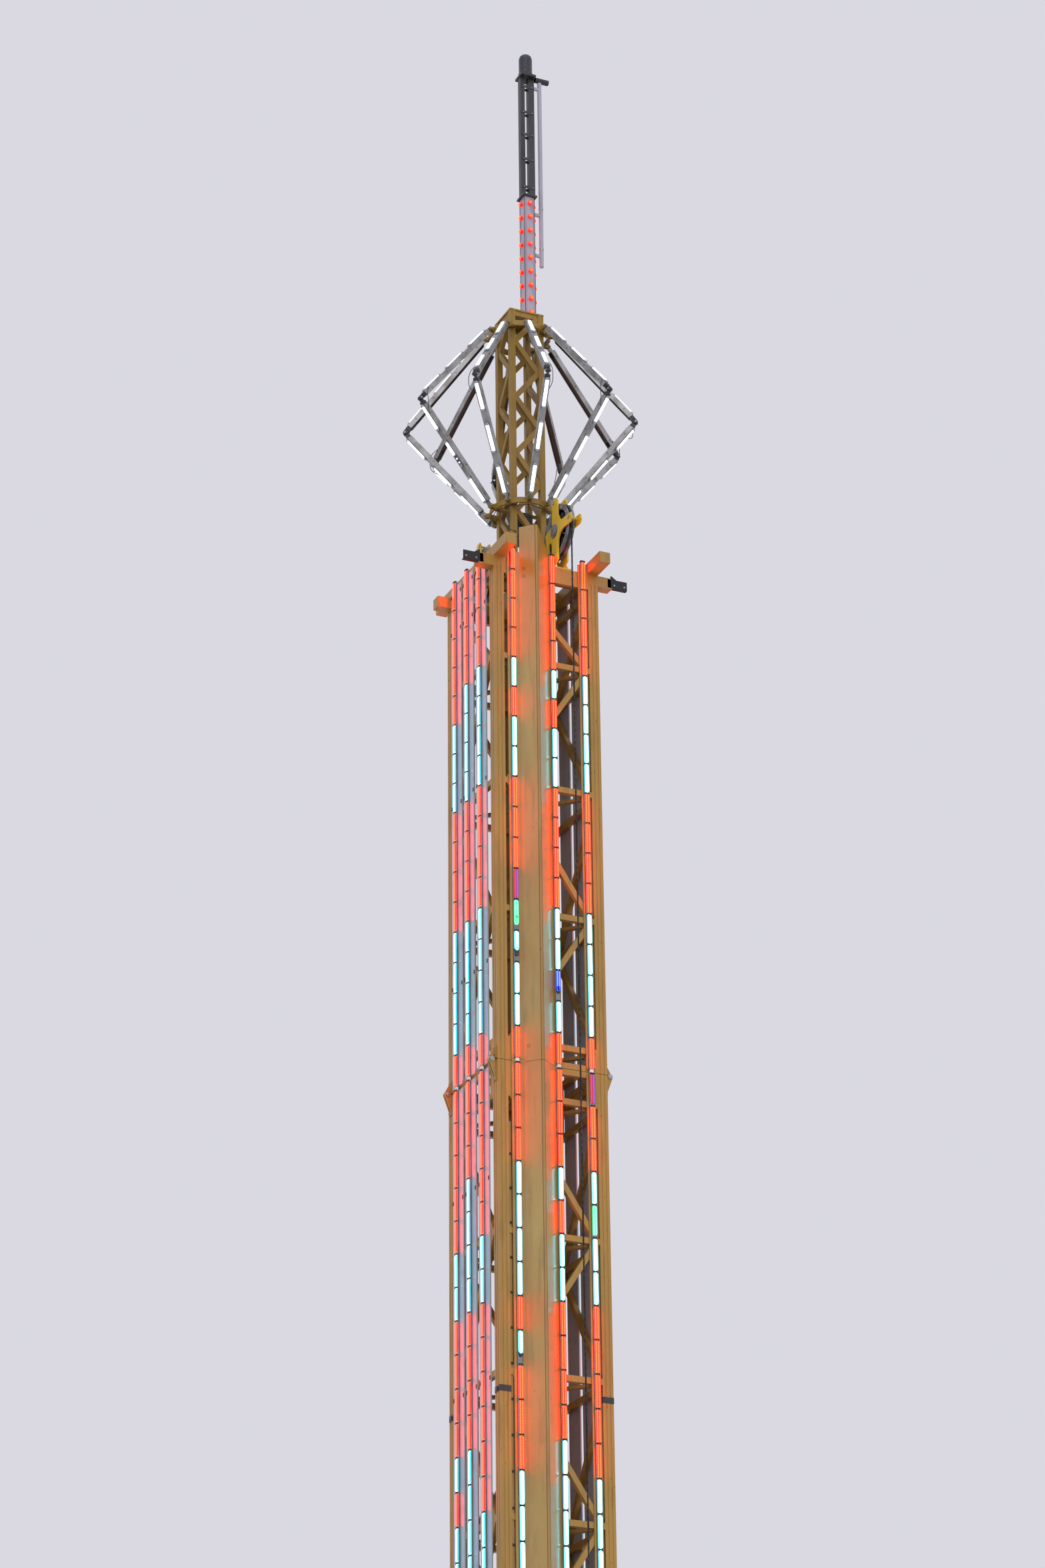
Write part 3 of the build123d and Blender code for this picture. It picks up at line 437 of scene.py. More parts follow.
def twice(points):
    """The points, and again after half a turn."""
    return points + [(-x, -y) for x, y in points]


def cut_corners(x, y, edge):
    return twice([(edge - x, -y), (x - edge, -y), (x, edge - y), (x, y - edge)])


def rounded_ends(width, length, turns=6):
    """A strip's outline with half-round ends, along Y."""
    radius, straight = width / 2, length / 2 - width / 2
    arc = [pi * i / turns for i in range(turns + 1)]
    return twice([(radius * cos(a), straight + radius * sin(a)) for a in arc])


def about(point):
    return Matrix.Translation(point)


def placed(origin, across, outward):
    """Local X along across, local Z along outward."""
    across, outward = Vector(across).normalized(), Vector(outward).normalized()
    turn = Matrix((across, outward.cross(across), outward)).transposed().to_4x4()
    return about(origin) @ turn


def facing(origin, outward):
    """Local Z along outward, local X level and square to it."""
    return placed(origin, (0, 1, 0) if outward[0] else (1, 0, 0), outward)


def round_z(angle):
    return Matrix.Rotation(radians(angle), 4, "Z")


corners = ((-1, -1), (-1, 1), (1, -1), (1, 1))
# The two halves of an arm: hinge, direction to the knee, reach and the way out of the arm
arm_halves = []
for hinge, side in ((top_hinge, 1), (low_hinge, -1)):
    ahead = (knee - hinge).normalized()
    arm_halves.append((hinge, ahead, (knee - hinge).length, ahead.cross(Vector((0, side, 0)))))
arm_turns = [round_z(arm_turn + n * 360 / arm_count) for n in range(arm_count)]
quarter_turns = [round_z(90 * n) for n in range(4)]
half_turns = quarter_turns[::2]

# CAD solids that keep their shape take their real finish, by the start of their names
finish_of = {
    ochre_enamel: "foot_ column_ lattice_ plan_ section_lugs_ head_ lantern_base_",
    rail_enamel: "rail_carrier_",
    board_sheet: "backing_boards_",
    channel_aluminium: "light_strips_",
    zinc: "section_pins rope_sockets arm_pins",
    turned_steel: "sheave_axle_",
    black_rubber: "cross_beam_ends",
    yellow_enamel: "sheave_cheeks_",
    sheave_finish: "sheave_wheel_",
    rope_finish: "hoist_rope_",
    olive_enamel: "lantern_posts lantern_braces lantern_low_ring lantern_top_ring mast_foot",
    arm_aluminium: "upper_arms lower_arms",
    dark_enamel: "knee_knuckles mast_twin_posts mast_plate mast_top_plate cross_tube",
    grey_enamel: "mast_box side_pole",
}
for finish, starts in finish_of.items():
    for name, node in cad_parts.items():
        if name.startswith(tuple(starts.split())):
            node.data.materials.clear()
            node.data.materials.append(finish)

# Light strips: lens modules along each channel, in the running light's state at one instant
# Each run is a number of modules from a strip's top, red and white by turns
module_length, module_gap = 0.25, 0.015
lens_width, lens_height = 0.036, 0.008
short_first = 0.76  # two strips start with a cut-down module
plain_run = 4
left_runs = ((5, 3, 4, 4, 6, 2, 4, 1, 1), (), (4, 4, 4, 4, 6, 2, 6))
front_runs = ((4, 1, 1, 2, 4, 4, 4, 4, 5), (4, 1, 1, 2, 4, 4, 4, 1, 1, 2), (4, 4, 4, 4, 4, 4, 5))
strip_lenses = (red_lens, cyan_lens, green_lens, blue_lens, violet_lens, dark_lens)
red, white, green, blue, violet, dark = range(len(strip_lenses))
# Faulty front modules, by strip and number from the top: state and lit share
faults = {(0, 11): (violet, 1.0), (0, 12): (green, 0.84), (0, 13): (white, 0.66),
          (0, 25): (white, 0.7), (1, 14): (blue, 0.72), (2, 17): (violet, 0.94),
          (2, 21): (green, 0.95)}


def state(runs, index):
    end = 0
    for turn, run in enumerate(runs):
        end += run
        if index < end:
            return turn % 2
    return (len(runs) + (index - end) // plain_run) % 2


def between_joints(low, high, gap):
    """(low, high) of each length between the section joints, from the foot up."""
    edges = [low, *(z + end * gap / 2 for z in joints for end in (-1, 1)), high]
    return list(zip(edges[0::2], edges[1::2]))


def strip_modules(first_share):
    """(middle height, length, number from the top) of each module of one strip."""
    number = 0
    for low, high in between_joints(strip_low, strip_high, joint_slit)[::-1]:
        count = round((high - low) / module_length)
        shares = [1 if number else first_share] + [1] * (count - 1)
        pitch = (high - low) / sum(shares)
        for share in shares:
            yield high - pitch * share / 2, pitch * share - module_gap, number
            high -= pitch * share
            number += 1


def face_place(place, height, turn, sideways):
    """A point on a strip's front: front strips lie along X, side strips along Y."""
    if sideways:
        return turn @ placed((-strip_face, place, height), (0, -1, 0), (-1, 0, 0))
    return turn @ facing((place, -strip_face, height), (0, -1, 0))


def module_lens(shape, place, length, slot, share):
    """One lens; a broken one is lit along its share and dark along the rest."""
    stretches = [(0, length, slot)]
    if share < 1:
        lit = length * share
        stretches = [((length - lit) / 2, lit, slot),
                     ((lit - length) / 2, length - lit - 0.004, dark)]
    for offset, size, finish in stretches:
        width = min(lens_width, size * 0.9)
        outline = rounded_ends(width, size)
        inner = [(x * (width - 0.004) / width, y * (size - 0.004) / size) for x, y in outline]
        rings = [(outline, 0), (outline, lens_height - 0.002), (inner, lens_height)]
        shape.stack(rings, place @ about((0, offset, 0)), finish, False, (width, size))


for face, turn, sideways in zip(("front", "back", "left", "right"), half_turns * 2,
                                (False, False, True, True)):
    runs = left_runs if sideways else front_runs
    with (piece(f"strip_spacers_{face}", (white_nylon, black_rubber), "black_rubber") as spacers,
          piece(f"strip_lenses_{face}", strip_lenses, "led_lens") as lenses):
        for strip, place in enumerate(side_places if sideways else front_places):
            cut_down = strip == (2 if sideways else 0)
            for height, length, number in strip_modules(short_first if cut_down else 1):
                slot, share = state(runs[strip], number), 1.0
                if face == "front":
                    slot, share = faults.get((strip, number), (slot, share))
                module_lens(lenses, face_place(place, height, turn, sideways), length, slot, share)
                bridge = face_place(place, height + (length + module_gap) / 2, turn, sideways)
                spacers.box((0.034, module_gap - 0.002, 0.007), bridge @ about((0, 0, 0.0035)), 1)
            for z in joints:
                spot = face_place(place, z, turn, sideways) @ about((0, 0, -0.0065))
                spacers.box((0.03, joint_slit - 0.004, 0.017), spot, 0, 0.002)
            top = face_place(place, strip_high + 0.004, turn, sideways)
            spacers.box((0.042, 0.008, 0.02), top @ about((0, 0, -0.007)), 1, 0.002)


# Arm light bars: a milky tube on a tray with a clear cap and two screws at each end
def bar_places():
    for hinge, ahead, reach, outward in arm_halves:
        middle = (hinge + knee) / 2 + ahead * (hinge_setback - knee_setback) / 2
        for n in (-1, 0, 1):
            spot = middle + ahead * n * bar_pitch + outward * arm_depth / 2
            yield hinge, n, placed(spot, ahead.cross(outward), outward)


def arm_bar(shape, place, lit_share):
    cap = 0.02
    shape.box((bar_width - 0.004, bar_length, 0.005), place @ about((0, 0, 0.0025)), 1, 0.001)
    tube_length = (bar_length - 2 * cap) * lit_share
    spot = place @ about((0, bar_length / 2 - cap - tube_length / 2, 0.005))
    outline = cut_corners(bar_width / 2 - 0.004, tube_length / 2, 0.003)
    inner = cut_corners(bar_width / 2 - 0.009, tube_length / 2 - 0.002, 0.003)
    shape.stack([(outline, 0), (outline, 0.004), (inner, 0.009)], spot,
                uv_size=(bar_width, tube_length))
    for side in (-1, 1):
        end = rounded_ends(bar_width - 0.002, cap + 0.022, 5)
        half_end = [(x, max(y, 0) if side > 0 else min(y, 0)) for x, y in end]
        spot = place @ about((0, side * (bar_length / 2 - cap), 0.005))
        inner_end = [(x * 0.85, y * 0.9) for x, y in half_end]
        shape.stack([(half_end, 0), (half_end, 0.006), (inner_end, 0.008)], spot, 2)
        for x in (-0.009, 0.009):
            shape.lathe([(0.0032, 0), (0.0032, 0.0014), (0.0022, 0.0022)],
                        place @ about((x, side * (bar_length - cap) / 2, 0.0125)), 8, 3)
    if lit_share < 1:
        for n in range(4):
            shard = place @ about((0.004 * (n % 2), -bar_length * (0.12 + 0.07 * n), 0.008))
            shape.box((0.012, 0.009, 0.005), shard, 0 if n % 2 else 4, 0.001)


broken_arm = 5
with piece("arm_light_tubes", (white_lens, channel_aluminium, end_cap_plastic, zinc, dark_lens),
           "led_lens", replaces="arm_light_bars") as arm_bars:
    for number, turn in enumerate(arm_turns):
        for hinge, n, place in bar_places():
            damaged = number == broken_arm and hinge is low_hinge and n == 0
            arm_bar(arm_bars, turn @ place, 0.55 if damaged else 1.0)


# Arm fittings: hinge nuts and drain holes on the channel sides, the rusty inner tray
with piece("arm_fittings", (zinc, black_rubber, brown_primer), "zinc_steel") as parts:
    for turn in arm_turns:
        for side in (-1, 1):
            for point in (top_hinge, knee, low_hinge):
                spot = facing(point + Vector((0, side * 0.0185, 0)), (0, side, 0))
                parts.bolt(turn @ spot, 0.009)
            for hinge, ahead, reach, _ in arm_halves:
                for step in (0.1, 0.37, 0.64, 0.86):
                    edge = hinge + ahead * reach * step + Vector((0, side * arm_width / 2, 0))
                    spot = turn @ placed(edge, ahead, (0, side, 0))
                    parts.lathe([(0.0065, -0.001), (0.0065, 0.0008), (0.0045, 0.0009),
                                 (0.0045, -0.001)], spot, 12, 1)
        for hinge, ahead, reach, outward in arm_halves:
            middle = hinge + ahead * (reach - 0.04) / 2 - outward * 0.012
            parts.box((arm_width - 0.014, reach - 0.24, 0.003),
                      turn @ placed(middle, (0, 1, 0), -outward), 2, 0.001)


# Wiring, fixed at both ends: a loop over each knee, a lead along each arm, a ring lead
def eased(points, steps=6):
    """A smooth path through the points."""
    path = [Vector(p) for p in points]
    path = [2 * path[0] - path[1], *path, 2 * path[-1] - path[-2]]
    out = []
    for a, b, c, d in zip(path, path[1:], path[2:], path[3:]):
        for k in range(steps):
            t = k / steps
            out.append(0.5 * (2 * b + (c - a) * t + (2 * a - 5 * b + 4 * c - d) * t * t
                              + (3 * b - a - 3 * c + d) * t ** 3))
    return out + [path[-2]]


loop_bulge = (0.058, 0.05, 0.03, 0.062, 0.044)
with piece("fixed_wiring", (cable_jacket,), "black_rubber") as wires:
    (_, up, _, up_out), (_, down, _, down_out) = arm_halves
    for number, turn in enumerate(arm_turns):
        side = 0.017 if number % 2 else -0.017
        bulge = loop_bulge[number % len(loop_bulge)] * (1 if side > 0 else -1)
        drop = 0.012 * ((number * 3) % 4)
        tied = knee + Vector((0, side * 1.2, 0))
        loop = [tied - up * 0.14 + up_out * 0.02,
                knee - up * 0.075 + up_out * 0.018 + Vector((0, side + bulge * 0.7, -drop)),
                knee + Vector((-0.03, side + bulge, -drop)),
                knee - down * 0.08 + down_out * 0.018 + Vector((0, side + bulge * 0.8, -drop)),
                tied - down * 0.15 + down_out * 0.02]
        wires.tube(eased(loop), 0.0028, 6, turn=turn)
        for hinge, ahead, reach, outward in arm_halves:
            start = hinge + ahead * 0.06 - outward * (arm_depth / 2 - 0.002)
            lead = [start + ahead * (reach - 0.2) * k / 11
                    + Vector((0, side * 1.15 + 0.004 * sin(k * 2.1 + number), 0))
                    for k in range(12)]
            wires.tube(eased(lead, 3), 0.0022, 6, turn=turn)
    for hinge, drop in ((top_hinge, 0.03), (low_hinge, 0.034)):
        radius, height = hinge.x - 0.055, hinge.z - drop
        turns = [2 * pi * k / 60 for k in range(61)]
        wires.tube([(radius * cos(a), radius * sin(a), height + 0.006 * sin(a * arm_count))
                    for a in turns], 0.003, 6)
    tails = [[(-0.225, -0.06, 16.58), (-0.2, -0.11, 16.42), (-0.12, -0.15, 16.36),
              (-0.075, -0.09, 16.4), (-0.06, -0.06, 16.45)],
             [(0.06, -0.066, 16.38), (0.085, -0.11, 16.26), (0.125, -0.148, 16.2),
              (0.125, -0.152, 16.05)]]
    for tail in tails:
        wires.tube(eased(tail), 0.0035)


# Sheave cheeks: bearing flanges, guard rod nuts and foot bolts
with piece("cheek_fittings", (sheave_finish, zinc), "sheave_paint") as parts:
    for turn in half_turns:
        for side in (-1, 1):
            face = sheave + Vector((side * (cheek_outside + 0.001), 0, 0))
            spot = turn @ facing(face, (side, 0, 0))
            flange = [(0.058, 0), (0.058, 0.005), (0.054, 0.007), (0.046, 0.007)]
            parts.lathe(flange, spot, 32)
            for n in range(6):
                angle = radians(30 + 60 * n)
                bolt = spot @ about((0.051 * cos(angle), 0.051 * sin(angle), 0.007))
                parts.bolt(bolt, 0.005, 1)
            for y, z in ((0.006, 0.251), (-0.257, -0.003)):
                nut = turn @ facing(sheave + Vector((side * cheek_outside, y, z)), (side, 0, 0))
                parts.lathe([(0.017, 0), (0.017, 0.003)], nut, 20, 1, False)
                parts.lathe([(0.014, 0.003), (0.014, 0.0055)], nut, 6, 1, False)
            for y in (-0.418, -0.376):
                foot = about((sheave.x + side * 0.095, y, 15.952))
                parts.bolt(turn @ foot, 0.008, 1)


def sheave_wheel(wheel, centre):
    """A turned wheel: grooved rim, dished web with round windows, ribs, hub and bearing ring."""
    half_width, half_web, bore = 0.028, 0.009, 0.0301
    groove_low = sheave_radius - 0.016
    rim_inside = sheave_radius - 0.05
    rim = [(rim_inside, -half_web), (rim_inside + 0.004, -half_width + 0.003),
           (rim_inside + 0.008, -half_width), (sheave_radius - 0.003, -half_width),
           (sheave_radius, -half_width + 0.003), (sheave_radius - 0.001, -0.022),
           (groove_low + 0.004, -0.0095), (groove_low + 0.001, -0.006), (groove_low, 0.0)]
    rim += [(radius, -height) for radius, height in rim[-2::-1]]
    wheel.lathe(rim, centre, 96)
    hub = [(bore, -half_width), (0.056, -half_width), (0.062, -half_width + 0.005),
           (0.062, half_width - 0.005), (0.056, half_width), (bore, half_width)]
    wheel.lathe(hub, centre, 48)
    for n in range(6):
        web_sector(wheel, centre @ round_z(60 * n), half_web, 0.06, rim_inside + 0.002)
    for side in (0, 180):
        face = centre @ Matrix.Rotation(radians(side), 4, "Y")
        for n in range(6):
            rib = face @ round_z(60 * n + 30) @ about((0.119, 0, half_web + 0.004))
            wheel.box((0.116, 0.01, 0.01), rib, edge=0.002)
        wheel.lathe([(0.055, half_width), (0.054, half_width + 0.0015),
                     (0.036, half_width + 0.0015)], face, 40, 1)
        for n in range(3):
            spot = face @ round_z(120 * n) @ about((0.048, 0, half_width))
            wheel.lathe([(0.004, 0), (0.004, 0.003), (0.002, 0.004)], spot, 8, 2)


def web_sector(wheel, sector, half_web, inner, outer):
    """A sixth of the web between two radii, with its round window."""
    window_circle, window, steps = 0.124, 0.034, 48
    edge, hole = [], []
    for k in range(steps):
        turn = 2 * pi * (k + 0.5) / steps
        ahead = Vector((cos(turn), sin(turn)))
        hole.append((window_circle + window * ahead.x, window * ahead.y))
        edge.append(sector_edge(window_circle, ahead, inner, outer))
    rings = [(hole, half_web - 0.002), (hole, half_web), (edge, half_web)]
    low = [(edge, -half_web), (hole, -half_web), (hole, half_web - 0.002)]
    wheel.stack(rings, sector, closed=False)
    wheel.stack(low, sector, closed=False)


def sector_edge(start, ahead, inner, outer):
    """Where a ray from the window's centre leaves its sector, by halving the reach."""
    near, far = 0, outer
    for step in range(40):
        reach = (near + far) / 2
        x, y = start + reach * ahead.x, reach * ahead.y
        inside = inner <= hypot(x, y) <= outer and abs(y) <= x * tan(radians(30))
        near, far = (reach, far) if inside else (near, reach)
    return x, y


for name, turn in zip(("front", "back"), half_turns):
    with piece(f"{name}_sheave_turned_wheel", (sheave_finish, turned_steel, zinc), "sheave_iron",
               f"{name}_sheave", f"sheave_wheel_{name}") as wheel:
        sheave_wheel(wheel, turn @ facing(sheave, (1, 0, 0)))


# Section joints: pad bolts, split pins and the short rods between the boards
with piece("joint_fittings", (zinc,), "zinc_steel") as parts:
    for z in joints:
        for side, end in corners:
            y = end * column_place
            for tip in (-1, 1):
                for height in (0.04, 0.092, -0.045, -0.095, -0.142):
                    spot = (side * (half + 0.008), y + tip * 0.0175, z + height)
                    parts.bolt(facing(spot, (side, 0, 0)), 0.006)
                pin = facing((side * (half + 0.034), y + tip * 0.0255, z), (0, tip, 0))
                parts.lathe([(0.01, 0), (0.01, 0.002), (0.008, 0.003)], pin, 16)
        for turn in half_turns:
            for y in (0.142, -0.0915):
                rod = [(-half - 0.013, y + end, z + 0.03) for end in (-0.03, 0.03)]
                parts.tube(rod, 0.0025, turn=turn)


# Lattice gussets on the inside of each face, where chords and diagonals meet
with piece("lattice_gussets", (ochre_enamel,), "tower_paint") as plates:
    bay, zone_below, zone_above = 1.05, 0.255, 0.165
    levels = [joint - zone_below - bay * k for joint in joints
              for k in range(3 if joint == joints[0] else 5)]
    levels += [joints[-1] + zone_above + bay * k for k in range(4)]
    gusset = ((0, -0.075), (0, 0.075), (-0.075, 0.03), (-0.095, -0.01), (-0.075, -0.05))
    for z in levels:
        for side in (-1, 1):
            plate = [(side * x, y) for x, y in gusset][::-side]
            spot = facing((side * 0.3595, -0.4045, z), (0, -1, 0))
            for turn in quarter_turns:
                plates.stack([(plate, -0.006), (plate, -0.0005)], turn @ spot)


# Guide rails: a folded trapezium with a bar down its nose, cut aslant at the top
def guide_rail(rail, turn):
    left, right, nose = -0.233, 0.016, (-0.139, -0.115)
    base, front, top, low_top = -board_face, -rail_face + 0.001, 16.22, 16.045
    for low, high in between_joints(0.3, top, 0.003):
        slant = low_top if high == top else high
        outline = [(left, base), (nose[0], front), (nose[1], front), (right, base - 0.0015),
                   (right, base), (nose[1], base)]
        heights = [high, high, high, slant, slant, high]
        points = [(*spot, low) for spot in outline]
        points += [(*spot, z) for spot, z in zip(outline, heights)]
        sides = [(k, (k + 1) % 6, 6 + (k + 1) % 6, 6 + k) for k in range(6)]
        ends = [(5, 2, 1, 0), (5, 4, 3, 2), (6, 7, 8, 11), (8, 9, 10, 11)]
        rail.add([turn @ Vector(point) for point in points], sides + ends)
        bar = about((sum(nose) / 2, front, (low + high) / 2))
        rail.box((nose[1] - nose[0] - 0.006, 0.002, high - low), turn @ bar)
        for x in nose:
            rail.tube([(x, front + 0.0004, z) for z in (low, high)], 0.0014, 6, 1, turn)
        flank = Vector((nose[0] - left, front - base, 0)).normalized()
        outward = Vector((flank.y, -flank.x, 0))
        z = low + 0.22
        while z < high - 0.1:
            spot = placed(Vector((left, base, z)) + flank * 0.014, flank, outward)
            rail.lathe([(0.0045, -0.001), (0.0045, 0.0006), (0.002, 0.001)], turn @ spot, 8, 2)
            z += 0.42


for name, turn in zip(("front", "back"), half_turns):
    with piece(f"folded_guide_rail_{name}", (rail_enamel, dark_enamel, zinc), "tower_paint",
               replaces=f"guide_rail_{name}") as rail:
        guide_rail(rail, turn)


# Plates behind the carriers' joints, so that only a hairline shows there
with piece("carrier_joint_covers", (rail_enamel,), "tower_paint") as covers:
    for turn in half_turns:
        for z in joints:
            covers.box((0.404, 0.008, joint_slit - 0.003), turn @ about((-0.132, -0.4505, z)))


# Two plugged holes in the left flank of each rail, near its top, and one above each joint
with piece("rail_hole_plugs", (dark_enamel,), "dark_steel") as holes:
    flank = Vector((0.095, -0.096, 0)).normalized()
    outward = (-0.096, -0.095, 0)
    for turn in half_turns:
        for z in (15.85, 15.785, *[joint + 0.12 for joint in joints]):
            middle = Vector((-0.233, -board_face, z)) + flank * 0.034
            holes.lathe([(0.012, -0.001), (0.012, 0.0012), (0.01, 0.0014), (0.009, -0.001)],
                        turn @ placed(middle, flank, outward), 16)


# Dark straps round the columns, with a bolted ear, and clips along the side boards' edges
with piece("straps_and_board_clips", (dark_enamel, zinc), "dark_steel") as parts:
    strap_height, reach = 9.29, 0.04575
    for x, y in corners:
        middle = about((x * column_place, y * column_place, strap_height))
        parts.stack([(cut_corners(reach, reach, 0.003), z) for z in (-0.022, 0.022)], middle)
        ear = middle @ facing((x * (reach + 0.004), 0, 0), (x, 0, 0))
        parts.box((0.022, 0.026, 0.008), ear, edge=0.002)
        parts.bolt(ear @ about((0, 0, 0.004)), 0.005, 1)
    for turn in half_turns:
        for y in (place + side * 0.086 for place in side_places for side in (-1, 1)):
            for z in (15.93, 15.6, 14.1, 12.6, 10.9, 9.4, 7.9, 6.3, 4.8, 3.3, 1.8):
                clip = turn @ facing((-board_face - 0.002, y, z), (-1, 0, 0))
                parts.box((0.014, 0.03, 0.004), clip, edge=0.001)
                parts.bolt(clip @ about((0, 0, 0.002)), 0.0035, 1)


# Gloss enamelled filler plates between the front carrier and the left column, with dark cleats
with piece("inner_guide_plates", (rail_enamel, dark_enamel), "tower_paint") as guide:
    step, gap, low_end, high_end = 0.262, 0.022, 0.32, 11.35
    plate, cleat = cut_corners(0.0105, 0.003, 0.001), cut_corners(0.011, 0.002, 0.001)
    for turn in half_turns:
        middle = turn @ about((-0.348, -0.433, 0))
        for n in range(int((high_end - low_end) / step)):
            low = low_end + n * step
            if any(abs(low + step / 2 - z) < step / 2 + 0.02 for z in joints):
                continue
            guide.stack([(plate, low), (plate, low + step - gap)], middle)
            guide.stack([(cleat, low + step - gap), (cleat, low + step)], middle, 1)


# Head: bolted lids on the side beams, black plates on the front beam's ends
with piece("side_beam_lid_bolts", (zinc,), "zinc_steel") as bolts:
    for x, side in corners:
        lid = facing((x * 0.4, side * 0.675, 15.985), (0, side, 0))
        for across, up in corners:
            bolts.bolt(lid @ about((across * 0.032, up * 0.032, -0.0035)), 0.0045)


with piece("beam_end_plates", (black_rubber, zinc, ochre_enamel), "black_rubber",
           replaces="cross_beam_ends") as plates:
    beam_end, plate_end, low, high = 0.56, 0.7, 15.856, 15.934
    thick, front, beam_wide = 0.01, -half, 0.0896
    middle, inner = (low + high) / 2, beam_end - 0.03
    for side in (-1, 1):
        centre = (side * (inner + plate_end) / 2, front + thick / 2, middle)
        plates.box((plate_end - inner, high - low, thick), facing(centre, (0, -1, 0)), edge=0.002)
        lip = about((centre[0], front + 0.018, low + 0.003))
        plates.box((plate_end - inner, 0.03, 0.006), lip, edge=0.001)
        for x in (0.59, 0.676):
            screw = facing((side * x, front, middle - 0.01), (0, -1, 0))
            plates.lathe([(0.008, 0), (0.008, 0.0015), (0.004, 0.0025)], screw, 16, 1)
        stay = facing((side * (beam_end + 0.006), -0.4, middle), (side, 0, 0))
        plates.box((beam_wide, beam_wide, 0.012), stay, 2, 0.002)
        wedge = [(0, 0), (side * 0.05, 0), (side * 0.008, 0.03), (0, 0.03)][::side]
        ear = facing((side * beam_end, front + thick, high - 0.002), (0, -1, 0))
        plates.stack([(wedge, 0), (wedge, thick)], ear)
        end = facing((side * (beam_end + 0.004), 0.4, 15.895), (side, 0, 0))
        plates.box((beam_wide, beam_wide, 0.008), end, 2, 0.002)


# Foot: weld seams along the gussets and the columns
with piece("foot_weld_seams", (ochre_enamel,), "tower_paint") as seams:
    plate_top = 0.042
    for turn in quarter_turns:
        paths = []
        for end, side in corners:
            y = end * column_place + side * 0.01
            paths.append([(half + 0.004, y, plate_top + 0.002), (half + 0.19, y, plate_top)])
        paths.append([(-0.447, -0.447, plate_top), (-0.358, -0.447, plate_top)])
        for path in paths:
            seams.tube(path, 0.004, 6, turn=turn)


# Dark box in the lantern's foot: ribbed lid, glands, a curved brown belly and its hanger bar
with piece("lantern_control_box", (dark_enamel, brown_primer, black_rubber, olive_enamel),
           "dark_steel", replaces="lantern_box") as box:
    low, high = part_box("lantern_box")
    x, y, hanger = 0.07, 0.065, 0.024
    bottom, top = low.z, high.z - hanger
    belly_top = bottom + 0.05
    body = [(0.004, belly_top), (0, bottom + 0.056), (0, top - 0.04), (0.003, top - 0.038),
            (0.003, top - 0.034), (0, top - 0.032), (0, top - 0.006)]
    body = [(cut_corners(x - inset, y - inset, 0.014), z) for inset, z in body]
    box.stack([*body, (cut_corners(x - 0.006, y - 0.006, 0.012), top)], Matrix())
    belly = []
    for n in range(6, -1, -1):
        angle = radians(90 * n / 6)
        share = max(cos(angle) ** 0.5, 0.05)
        belly.append((cut_corners((x - 0.004) * share, (y - 0.004) * share, 0.002),
                      belly_top - 0.05 * sin(angle)))
    box.stack(belly, Matrix(), 1, True)
    dial = [(0.017, -0.001), (0.017, 0.003), (0.013, 0.005), (0.011, 0.002)]
    vent = [(0.014, -0.001), (0.014, 0.004), (0.01, 0.004), (0.009, 0.001)]
    for height in (0.085, 0.13):
        for side in (-1, 1):
            spot = facing((side * 0.02, -y, bottom + height + 0.03), (0, -1, 0))
            box.lathe(dial, spot, 20, 2)
            box.lathe(vent, facing((-x, side * 0.022, bottom + height), (-1, 0, 0)), 20, 2)
    for n in range(4):
        gland = facing((0.036 - 0.024 * n, -0.04, bottom + 0.052), (0, -0.4, -1))
        box.lathe([(0.008, 0), (0.008, 0.01), (0.005, 0.016)], gland, 12, 2)
    for n in range(5):
        fin = about((0, -0.04 + 0.02 * n, top - 0.019))
        box.box((2 * x + 0.001, 0.004, 0.02), fin, edge=0.001)
    box.box((high.x - low.x, 0.026, hanger), about((0, 0, top + hanger / 2)), 3, 0.003)


# Mast: domed lamp caps in flared cups, on all four sides
with piece("mast_lamp_caps", (lamp_core, lamp_rim), "lamp_red", replaces="mast_lamps") as caps:
    cup = [(0.015, 0), (0.0205, 0.018), (0.0205, 0.0205), (0.013, 0.0215)]
    cap = [(0.013, 0.0205), (0.0122, 0.0265), (0.0095, 0.0305), (0.005, 0.0328),
           (0.0012, 0.0335)]
    for n in range(lamp_count):
        height = mast_low + (n + 0.5) * (mast_high - mast_low) / lamp_count
        for turn in quarter_turns:
            spot = about((mast_x, 0, height)) @ turn @ facing((mast_half, 0, 0), (1, 0, 0))
            caps.lathe(cup, spot, 20, 1)
            caps.lathe(cap, spot, 20)


# Beacon: a smoked dome with moulded rings on a dark foot with a clamp band
with piece("beacon_dome", (smoked_dome, dark_enamel, zinc), "beacon_lens",
           replaces="beacon") as dome:
    spot, foot_top, ring_pitch = about((mast_x, 0, 0)), beacon_low + 0.026, 0.013
    dome.lathe([(0.058, beacon_low), (0.062, beacon_low + 0.004), (0.062, beacon_low + 0.02),
                (0.058, foot_top)], spot, 36, 1)
    profile = [(0.055, foot_top)]
    for n in range(11):
        z = foot_top + 0.008 + ring_pitch * n
        profile += [(0.056, z), (0.056, z + 0.007), (0.0535, z + 0.009), (0.0535, z + 0.011)]
    profile += [(0.054, foot_top + 0.008 + ring_pitch * 11), (0.05, beacon_top - 0.022),
                (0.042, beacon_top - 0.012), (0.028, beacon_top - 0.004), (0.01, beacon_top),
                (0.001, beacon_top)]
    dome.lathe(profile, spot, 36)
    dome.bolt(facing((mast_x, -0.059, beacon_low + 0.013), (0, -1, 0)), 0.0035, 2)


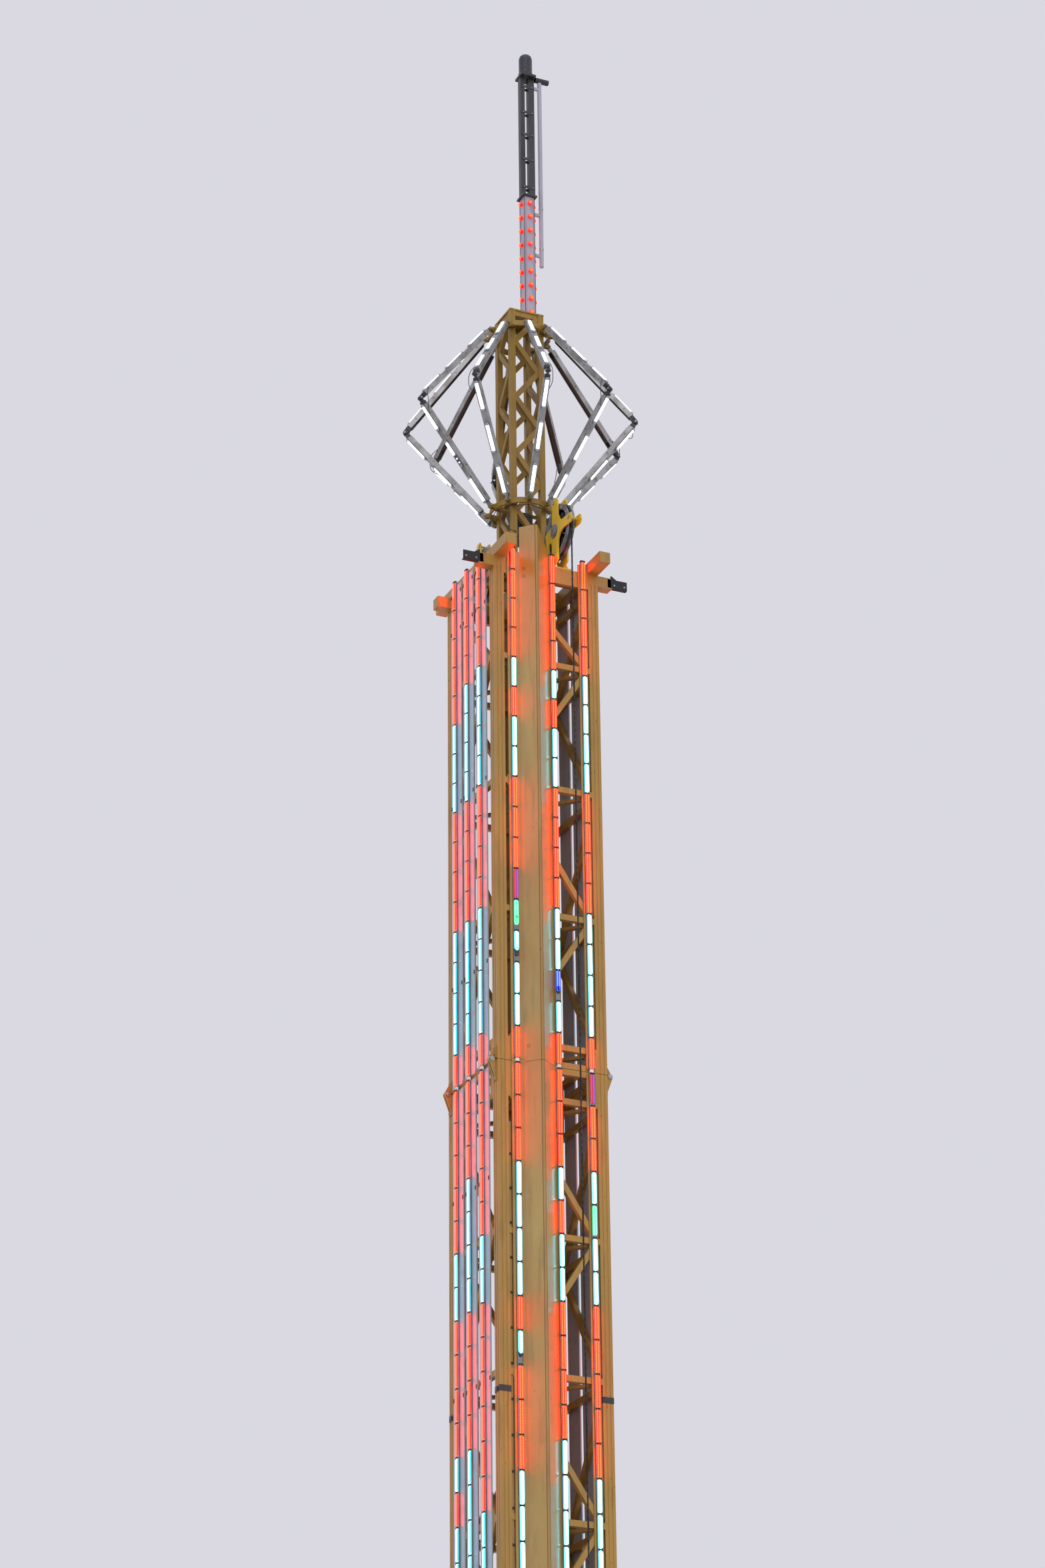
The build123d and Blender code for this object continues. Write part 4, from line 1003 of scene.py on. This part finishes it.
# Clamps on the twin posts, plate screws, corner seams, bands on the pole, rings on the cross tube
with piece("mast_fittings", (dark_enamel, zinc), "dark_steel") as parts:
    for z in (twin_low + 0.09, 19.96, 20.2, 20.42, twin_high - 0.09):
        for side in (-1, 1):
            clamp = facing((mast_x + 0.003, side * 0.0245, z), (0, side, 0))
            parts.box((0.122, 0.026, 0.003), clamp, edge=0.001)
            for x in (-0.042, 0.038):
                parts.bolt(clamp @ about((x * side, 0, 0.0015)), 0.0045, 1)
    seam = mast_half + 0.0004
    plate_screws = (mast_high + 0.016, 0.054, 0.0055), (twin_high + 0.02, 0.056, 0.0045)
    for x, y in corners:
        for z, reach, size in plate_screws:
            parts.bolt(about((mast_x + x * reach, y * reach, z)), size, 1)
        parts.bolt(about((x * post_place, y * post_place, mast_low)), 0.008, 1)
        edge = mast_x + x * seam, y * seam
        parts.tube([(*edge, mast_low + 0.004), (*edge, mast_high)], 0.0026)
    for z in (19.1227, 19.5147):
        parts.lathe([(0.0185, -0.009), (0.0195, -0.008), (0.0195, 0.008), (0.0185, 0.009)],
                    about((mast_x + 0.125, 0, z)), 24, 1)
    for x in (0.1695, 0.2885):
        ring = facing((x, 0, 20.779), (1, 0, 0))
        parts.lathe([(0.0238, -0.0005), (0.0238, 0.0002), (0.019, 0.0004)], ring)


# Camera, from the photograph's own perspective
eye = (-12.18, -26.305, 0.8)
heading, pitch_up, lean = radians(24.82), radians(24.9), radians(0.62)
ahead = Vector((sin(heading) * cos(pitch_up), cos(heading) * cos(pitch_up), sin(pitch_up)))
level_right = Vector((cos(heading), -sin(heading), 0))
level_up = level_right.cross(ahead)
right = level_right * cos(lean) - level_up * sin(lean)
optics = bpy.data.cameras.new("photo_camera")
optics.lens, optics.sensor_width = 95.4, 36
optics.clip_end = 500
camera = add_object("photo_camera", optics)
camera.matrix_world = placed(eye, right, -ahead)
scene.camera = camera

# Stage: a pale floor and a pale surround
floor_mesh = bpy.data.meshes.new("floor")
floor_reach = 90
floor_mesh.from_pydata([(x * floor_reach, y * floor_reach, 0) for x, y in corners], [],
                       [(0, 2, 3, 1)])
matt_floor, *_ = new_finish("pale_floor", {"Base Color": srgb("#DCDCE2"), "Roughness": 0.9})
floor_mesh.materials.append(matt_floor)
add_object("floor", floor_mesh)

world = bpy.data.worlds.new("surround")
scene.world = world
world.use_nodes = True
sky = world.node_tree
sky.nodes.clear()
seen = add_node(sky, "LightPath")
shown = seen.outputs["Is Camera Ray"]
for ray in ("Is Glossy Ray", "Is Transmission Ray"):
    shown = add_node(sky, "Math", {0: shown, 1: seen.outputs[ray]}, operation="MAXIMUM")
ambient = add_node(sky, "Background", {"Color": srgb("#F4F5F8"), "Strength": 0.55})
backdrop = add_node(sky, "Background", {"Color": srgb("#DAD9E2"), "Strength": 1.0})
both = add_node(sky, "MixShader", {0: shown, 1: ambient, 2: backdrop})
add_node(sky, "OutputWorld", {"Surface": both})

lights = (("key_light", 1.25, 80, (0.45, 0.85, -0.62)),
          ("fill_light", 0.55, 100, (-0.8, 0.35, -0.1)),
          ("back_light", 0.4, 100, (0.1, -0.9, -0.4)))
for name, strength, spread, aim in lights:
    light = bpy.data.lights.new(name, "SUN")
    light.energy, light.angle = strength, radians(spread)
    lamp = add_object(name, light)
    lamp.rotation_euler = Vector(aim).to_track_quat("-Z", "Y").to_euler()

scene.view_settings.view_transform = "Standard"
